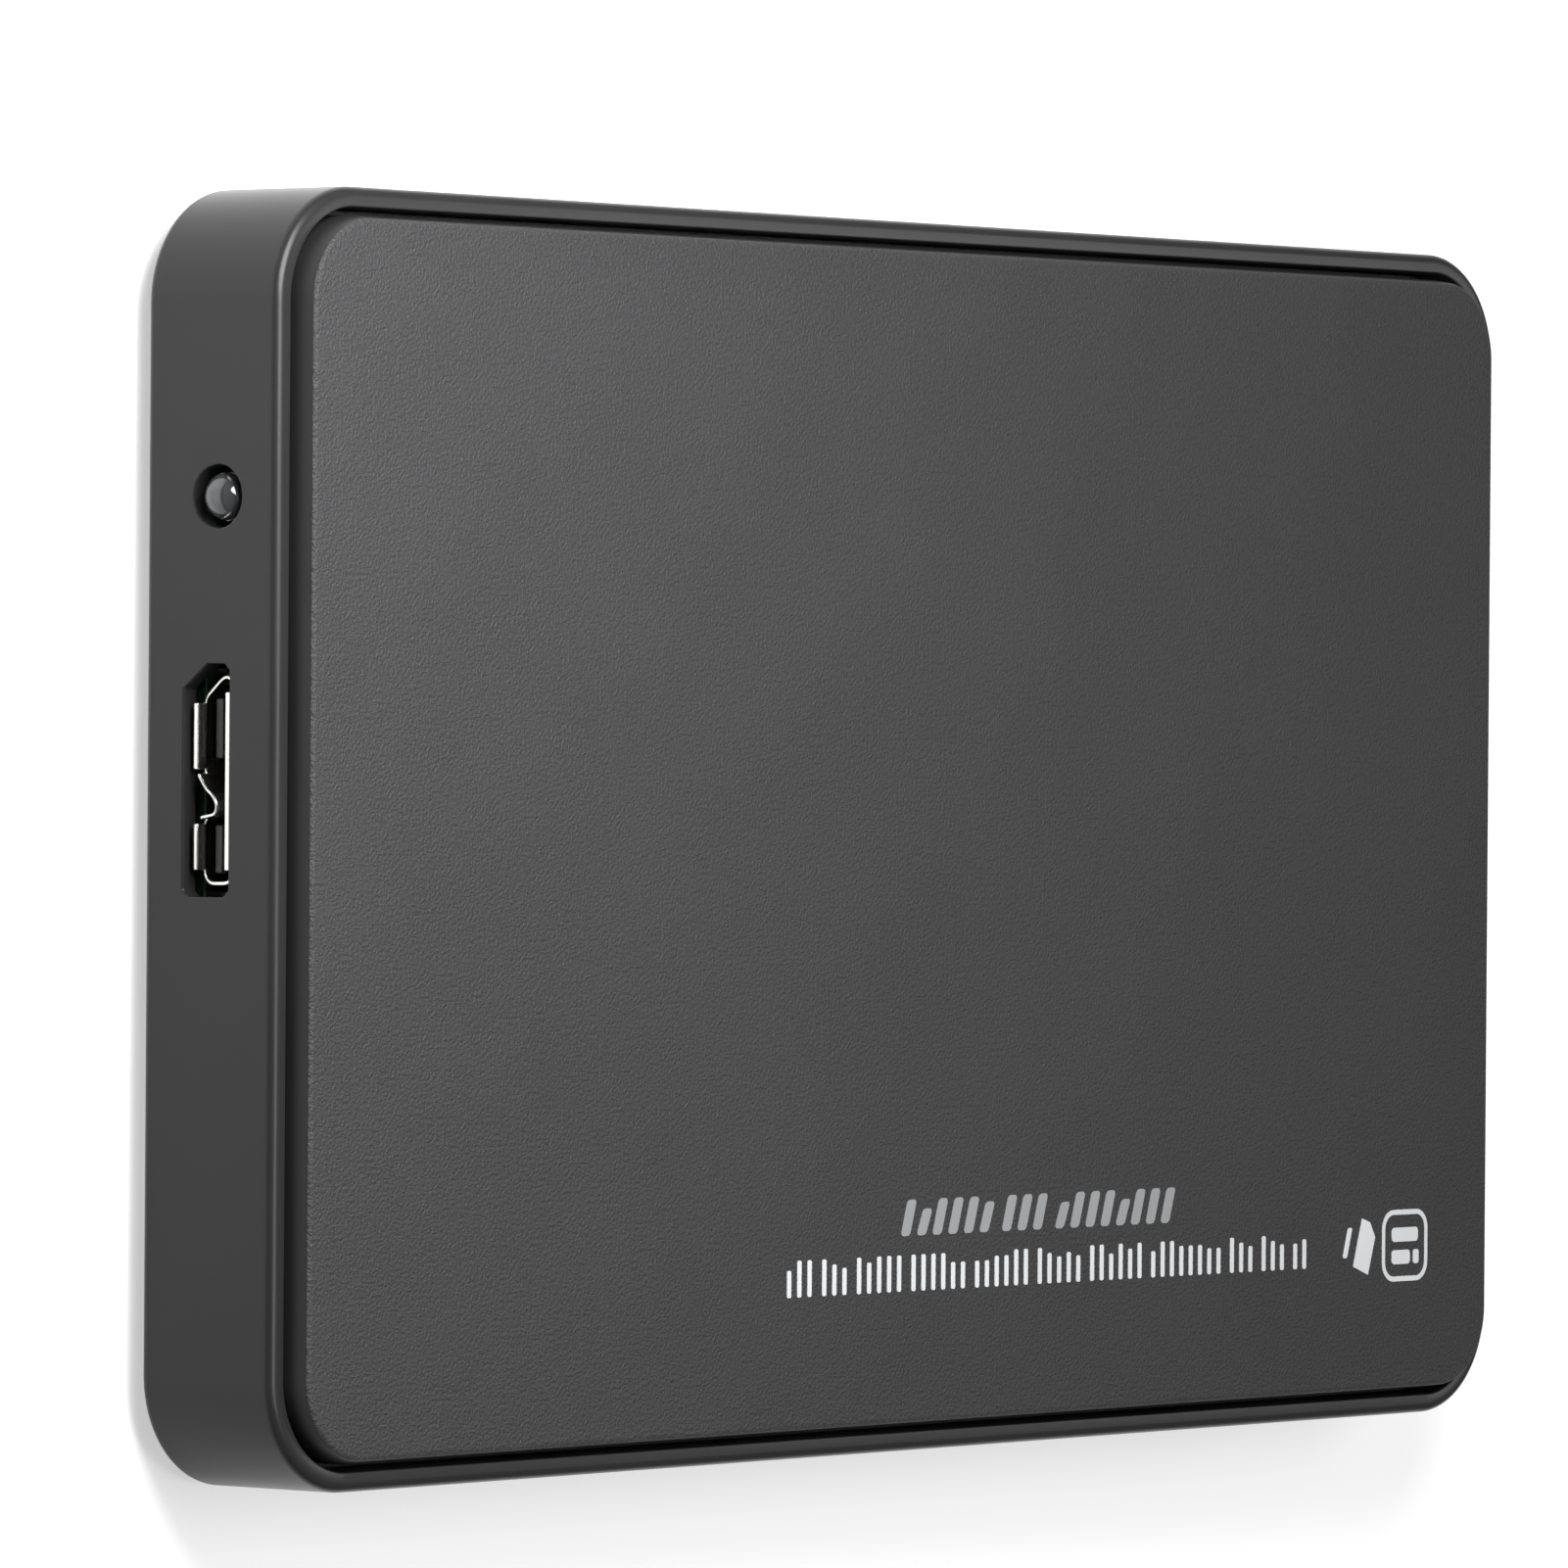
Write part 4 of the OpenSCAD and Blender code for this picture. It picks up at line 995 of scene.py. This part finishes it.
def lead_places(x, y, half, count, pitch, quarter_turns):
    """Places of the leads round a chip: on each side that is asked for, a row one pitch apart."""
    places = []
    for quarter in quarter_turns:
        turned = math.radians(90 * quarter)
        for i in range(count):
            along = (i - (count - 1) / 2) * pitch
            places.append((x + along * math.cos(turned) - half * math.sin(turned),
                           y + along * math.sin(turned) + half * math.cos(turned), board_top, 90 * quarter))
    return places


around = lead_places(chip_x, chip_y, 2.5, 8, chip_pitch, (0, 1, 2, 3))
leads = set_on_places("bridge_chip_leads_formed", gull_wing("fine_lead", 0.22), around, tinned)
assign(leads, "case", "bridge_chip_leads")
two_sides = lead_places(chip_x, flash_y, 1.95, 4, 1.27, (0, 2))
leads = set_on_places("flash_chip_leads_formed", gull_wing("wide_lead", 0.4), two_sides, tinned)
assign(leads, "case", "flash_chip_leads")

# ---- Small parts on the boards ----
# Ceramic capacitors are fired blocks with silvered ends; resistors are flat ceramic chips with a black
# glaze. A crystal sits in a steel can, and the coil of the supply is wound on a ferrite drum.
ceramic = plastic("ceramic_tan", (0.30, 0.21, 0.12), 0.5, 0.05, 0.004, mottle=0.2)
glaze = plastic("resistor_black", (0.014, 0.014, 0.016), 0.25, 0.08, 0.003, mottle=0.1)
drive_board_top = 7.9


def block(name, start, end, soft=0.0):
    """One block with rounded edges."""
    bm = bmesh.new()
    box_into(bm, start, end, soft)
    return mesh_object(name, bm)


def ended_parts(name, node, body, places, size, cap, material):
    """Like parts with a ceramic body and two wrapped metal ends, set at their places."""
    x, y, z = size[0] / 2, size[1] / 2, size[2]
    middle = block(name + "_body", (-x + cap * 0.5, -y * 0.95, 0.02),
                   (x - cap * 0.5, y * 0.95, z * 0.97), 0.04)
    bodies = set_on_places(name, middle, places, material)
    bm = bmesh.new()
    for hand in (-1, 1):
        box_into(bm, (hand * x, -y, 0), (hand * (x - cap), y, z), 0.06)
    caps = set_on_places(name + "_ends", mesh_object("ends", bm), places, tinned)
    assign(bodies, body, node)
    assign(caps, body)


def on_bridge(places):
    return [(board_low.x + x, y, board_top, 90 * turned) for x, y, turned in places]


capacitor_size = (1.6, 0.8, 0.8)
ended_parts("small_capacitors", "chip_capacitors", "case", on_bridge(capacitors),
            capacitor_size, 0.35, ceramic)
ended_parts("small_resistors", "chip_resistors", "case", on_bridge(resistors),
            (1, 0.5, 0.35), 0.22, glaze)
row = [(-32.15 + 2 * i, 10, drive_board_top, 90) for i in range(6)]
ended_parts("drive_capacitors_small", "drive_capacitors", "drive", row,
            capacitor_size, 0.35, ceramic)
unit = block("large_capacitor", (-0.97, -0.57, 0.02), (0.97, 0.57, 0.98), 0.06)
large = set_in_row("drive_capacitors_large", unit, 4, (-31.15, 22, drive_board_top), (2.4, 0, 0), ceramic)
assign(large, "drive")

crystal_low, crystal_high = cad_corners("crystal")
base = block("crystal_base", crystal_low, (crystal_high.x, crystal_high.y, crystal_low.z + 0.3), 0.05)
assign(base, "case", finish=ceramic)
bm = bmesh.new()
loft(bm, [ring_in(crystal_low, crystal_high, inset, crystal_low.z + z, 0.35, 6) for inset, z in (
    (0.1, 0.28), (0.1, 0.36), (0.22, 0.38), (0.22, 0.62), (0.26, 0.73), (0.36, 0.79), (0.5, 0.8))])
can = finish_mesh(mesh_object("crystal_can", bm))
assign(can, "case", "crystal", zinc)

coil_low, coil_high = cad_corners("inductor")
coil_mid = (coil_low + coil_high) / 2
coil_foot = (coil_mid.x, coil_mid.y, coil_low.z)
drum = [(0, 0.3), (1.62, 0.3), (1.7, 0.38), (1.7, 0.62), (1.62, 0.7), (1.05, 0.7), (1.05, 1.5), (1.62, 1.5),
        (1.7, 1.58), (1.7, 1.82), (1.62, 1.9), (0, 1.9)]
bm = bmesh.new()
turned_into(bm, drum, coil_foot, 40)
ferrite = plastic("ferrite", (0.06, 0.06, 0.062), 0.55, 0.06, 0.006, mottle=0.2)
assign(mesh_object("coil_core", bm), "case", "inductor", ferrite)
wire_r = 0.075
strand_rows = [(1.02, 0.72)]
for i in range(5):
    strand_rows += arc((1.45, 0.8 + 2 * wire_r * i), wire_r, -80, 80, 4)
bm = bmesh.new()
turned_into(bm, strand_rows + [(1.02, 1.48)], coil_foot, 40, close=True)
winding = mesh_object("coil_winding", bm)
shade(winding, True)
assign(winding, "case", finish=metal("enamelled_copper", (0.55, 0.20, 0.07), 0.3, scratch=0.3))
bm = bmesh.new()
for hand in (-1, 1):
    box_into(bm, (coil_mid.x - 0.4, coil_mid.y + hand * 1.3, coil_low.z),
             (coil_mid.x + 0.4, coil_mid.y + hand * 2, coil_low.z + 0.36), 0.05)
assign(mesh_object("coil_feet", bm), "case", finish=tinned)

bulk_low, bulk_high = cad_corners("bulk_capacitor")
bulk_mid = (bulk_low + bulk_high) / 2
end_room = Vector((0.15, 0, 0))
bm = bmesh.new()
loft(bm, [ring_in(bulk_low + end_room, bulk_high - end_room, inset, bulk_low.z + z, 0.1, 3) for inset, z in (
    (0.14, 0.12), (0.1, 0.16), (0.02, 0.8), (0.02, 0.84), (0.12, 1.75), (0.2, 1.8))])
tantalum = plastic("tantalum_yellow", (0.45, 0.24, 0.04), 0.55, 0.06, 0.006, mottle=0.12)
assign(mesh_object("bulk_capacitor_body", bm), "case", "bulk_capacitor", tantalum)
bent = [(0.75, 0), (1.75, 0), (1.75, 1.1), (1.5, 1.1), (1.62, 0.98), (1.62, 0.13), (0.75, 0.13)]
bm = bmesh.new()
for hand in (-1, 1):
    loft(bm, [[Vector((bulk_mid.x + hand * x, bulk_mid.y + y, bulk_low.z + z)) for x, z in bent]
              for y in (-0.7, 0.7)])
assign(mesh_object("bulk_capacitor_ends", bm), "case", finish=tinned)

# ---- Drive shells ----
# The drive lies face down: its cast aluminium base is the upper shell and its black painted lid is the
# lower one. Four posts in each take the screws, and blind tapped holes in the base are its mounts.
base_low, base_high = cad_corners("drive_base")
split_z = 7.4
drive_t = 0.9
drive_r, drive_least_r = 2, 0.5
drive_edge = 0.3
drive_soft = 0.15
tapped = [(drive_low.x + x, hand * 30.86) for x in (14, 90.6) for hand in (-1, 1)]


def drive_half(name, closed_z):
    """One hollow half of the drive, its outer edge rounded at the closed side, with the plug's opening."""
    up = 1 if closed_z > split_z else -1
    floor = closed_z - up * drive_t
    side = [(drive_t + 0.4, floor), (drive_t + 0.1, floor - up * 0.1), (drive_t, floor - up * 0.4),
            (drive_t, split_z + up * 0.05), (drive_t - 0.05, split_z), (drive_soft, split_z),
            (0, split_z + up * drive_soft)]
    side += [(inset, closed_z - up * (2 * drive_edge - height))
             for inset, height in arc((drive_edge, drive_edge), drive_edge, 180, 90, 5)]
    bm = bmesh.new()
    loft(bm, [ring_in(base_low, base_high, inset, z, max(drive_r - inset, drive_least_r), 8)
              for inset, z in side])
    half = mesh_object(name, bm)
    bm = bmesh.new()
    box_into(bm, (base_low.x - 1, plug_y - 18.05, plug_low_z), (base_low.x + 1.9, plug_y + 18.05, plug_high_z))
    if up > 0:
        for x, y, z, turned in corners:
            rod_into(bm, 0.85, (x, y, 9), (x, y, 10.5), 32)
            rod_into(bm, 1.6, (x, y, 10.05), (x, y, 12), 48)
        for x, y in tapped:
            rod_into(bm, 1.25, (x, y, 9), (x, y, 12), 32)
    cut_away(half, mesh_object(name + "_openings", bm), crossing=True)
    return half


def posts_into(bm, profile, places, close=False):
    """Stands a turned post at each place."""
    for place in places:
        turned_into(bm, profile, (place[0], place[1], 0), 32, close)


shell = drive_half("base_shell", base_high.z)
bm = bmesh.new()
posts_into(bm, [(0.85, 8), (2, 8), (2, 9.9), (2.25, 10.1), (0.85, 10.1)], corners, close=True)
posts_into(bm, [(0, 8.4), (2.1, 8.4), (2.25, 8.55), (2.25, 10.1), (1.3, 10.1), (1.3, 8.9), (0, 8.9)], tapped)
base_cast = finish_mesh(gather("drive_base_shell", shell, mesh_object("base_posts", bm)))
cast = metal("bare_aluminium", (0.62, 0.63, 0.65), 0.42, scratch=0.07, depth=0.012, tarnish=0.1)
assign(base_cast, "drive", "drive_base", cast)

shell = drive_half("lid_shell", drive_low.z)
bm = bmesh.new()
posts_into(bm, [(0, 4.7), (2.25, 4.7), (2, 4.95), (2, 7.8), (1.9, 7.9), (0.7, 7.9), (0.7, 4.9), (0, 4.9)],
           corners)
posts_into(bm, [(0, 4.7), (2.45, 4.7), (2.2, 4.95), (2.2, 6.9), (0.7, 6.9), (0.7, 4.9), (0, 4.9)], inner)
lid = finish_mesh(gather("drive_lid_shell", shell, mesh_object("lid_posts", bm)))
paint = plastic("painted_lid", (0.022, 0.023, 0.026), 0.45, 0.12, 0.008, mottle=0.1)
assign(lid, "drive", "drive_lid", paint)

label_low, label_high = cad_corners("drive_label")
bm = bmesh.new()
loft(bm, [ring_in(label_low, label_high, inset, z, 1.5, 8) for inset, z in (
    (0, label_low.z), (0, label_high.z - 0.03), (0.03, label_high.z - 0.01))])
foil = metal("label_silver", (0.74, 0.75, 0.76), 0.45, scratch=0.1, stretch=(0.05, 1, 1), tarnish=0.06)
assign(mesh_object("blank_label", bm), "drive", "drive_label", foil)
bm = bmesh.new()
for inset in (3, 4.1):
    left, right = label_low.x + inset, label_high.x - inset
    near, far = label_low.y + inset, label_high.y - inset
    path = [(left, near), (right, near), (right, far), (left, far)]
    for a, b in zip(path, path[1:] + path[:1]):
        ribbon_into(bm, [a, b], 0.3, label_high.z - 0.015, 0.01)
label_ink = plastic("label_ink", (0.03, 0.03, 0.032), 0.6, 0.1, 0.001)
assign(mesh_object("label_rules", bm), "drive", finish=label_ink)

# ---- Drive board and plug ----
# A blue board carries the drive's chips. Its edge plug is a black housing, open towards the receptacle,
# with two keyed tongues whose gold strips run back over the board.
pcb_low, pcb_high = cad_corners("drive_board")
blank = board_blank("drive_blank", pcb_low, pcb_high, [(x, y, 0.95) for x, y, z, turned in inner], 1)
bm = bmesh.new()
for i, y in enumerate(contact_ys):
    reach = pcb_low.x + 2.2 + (i % 5) * 0.5
    track_into(bm, [(pcb_low.x + 0.9, y), (reach, y), (reach + 0.8, y * 0.86)], 0.2, pcb_high.z)
for hand in (-1, 1):
    for i in range(12):
        y = hand * (8.2 + 0.5 * i)
        track_into(bm, [(-20, y * 0.7), (-18.5, y), (12, y)], 0.16, pcb_high.z)
blue = gather("drive_board_masked", blank, mesh_object("drive_tracks", bm))
assign(blue, "drive", "drive_board", board_mask("blue_board", (0.010, 0.045, 0.11)))

plug_low, plug_high = cad_corners("drive_plug")
housing = block("plug_housing", (plug_low.x, plug_y - 18, plug_low_z), (plug_high.x, plug_y + 18, plug_high_z))
cut_away(housing, block("plug_mouth", (plug_low.x - 1, plug_y - 17.7, plug_z - 2.3),
                        (-41.25, plug_y + 17.7, plug_z + 2.3)))
finish_mesh(housing, bevel=0.1)
tongue_x0, tongue_x1 = -45.65, -41
bm = bmesh.new()
for start, length in edge_tongues:
    y = plug_y + start
    box_into(bm, (tongue_x0, y, plug_z - 0.6), (tongue_x1, y + length, plug_z + 0.5), 0.15)
    box_into(bm, (tongue_x0, y, plug_z - 1.7), (tongue_x1, y + 1.3, plug_z), 0.12)
plug = gather("drive_edge_plug", housing, mesh_object("plug_tongues", bm))
assign(plug, "drive", "drive_plug", nylon)

pad_low, pad_high = cad_corners("thermal_pad")
bulge = [(0.05, 0), (0, 0.15), (0.12, 0.55), (0, 0.95), (0.05, 1.1)]
rise = (pad_high.z - pad_low.z) / bulge[-1][1]
bm = bmesh.new()
loft(bm, [ring_in(pad_low, pad_high, inset, pad_low.z + z * rise, 0.6, 4, along=8) for inset, z in bulge])
rubber = plastic("thermal_rubber", (0.25, 0.36, 0.44), 0.8, 0.1, 0.01, mottle=0.12)
assign(mesh_object("thermal_gap_pad", bm), "drive", "thermal_pad", rubber)

# ---- Printed marks ----
# Pale ink is pad-printed on the cover's lower corner at the far end: a wide mark over a line of small
# ones, and a picture of a memory card beside them. All are plain shapes with no letters.
ink_z0, ink_z1 = top_z - 0.005, cover_high.z


def ink_bar(left, right, low_y, high_y, lean=0.0):
    """A bar with round corners between two places across the cover, leaning to the right if asked."""
    width, height = right - left, high_y - low_y
    ring = rounded(width, height, min(width, height) * 0.3, 5)
    place = [((left + right) / 2 + p.x + lean * p.y / height, (low_y + high_y) / 2 + p.y) for p in ring]
    loft(bm, [[Vector((x, y, z)) for x, y in place] for z in (ink_z0, ink_z1)])


draw = random.Random(7)
ink_white = plastic("pale_ink", (0.42, 0.43, 0.44), 0.6, 0.12, 0.004, mottle=0.12)
ink_grey = plastic("grey_ink", (0.17, 0.175, 0.18), 0.5, 0.12, 0.004, mottle=0.12)
# strokes: start, end, step and width along the line, its lower and upper edge, and how far they lean
for name, material, x, end, step, width, low_y, high_y, lean in (
        ("printed_mark", ink_grey, -3.4, 25.2, 1.62, 0.95, -25.25, -22.95, 0.7),
        ("printed_line", ink_white, -15.2, 39.8, 1.02, 0.42, -28.75, -26.45, 0.0)):
    bm = bmesh.new()
    while x < end:
        for _ in range(draw.choice((3, 5, 6, 8))):
            short = draw.choice((0, 0, 0.35, 0.6))
            if x < end:
                ink_bar(x, x + width, low_y, high_y - short, lean)
            x += step
        x += 0.45 * step
    assign(mesh_object(name, bm), "cover", finish=material)

bm = bmesh.new()
badge_x, badge_y = 51, -27.55
badge_low, badge_high = (badge_x - 2.6, badge_y - 2.4), (badge_x + 2.6, badge_y + 2.4)
badge_r, stroke = 1.3, 0.34
loft(bm, [ring_in(badge_low, badge_high, inset, z, badge_r - inset, 8) for inset, z in (
    (0, ink_z0), (0, ink_z1), (stroke, ink_z1), (stroke, ink_z0))], close=True)
for left, right, low_y, high_y in ((-1.5, 1.5, 0.25, 1.2), (-1.5, 0.6, -1.25, -0.3), (0.95, 1.6, -1.25, -0.3)):
    ink_bar(badge_x + left, badge_x + right, badge_y + low_y, badge_y + high_y)
card = [(-1.5, -1.3), (0.2, -1.9), (1.0, 0.6), (0.4, 1.6), (-0.5, 1.9)]
card_x, card_y = 46.6, -27.5
loft(bm, [[Vector((card_x + x, card_y + y, z)) for x, y in card] for z in (ink_z0, ink_z1)])
ink_bar(44.2, 44.7, -28.2, -26.2, lean=0.6)
assign(mesh_object("printed_badge", bm), "cover", finish=ink_white)
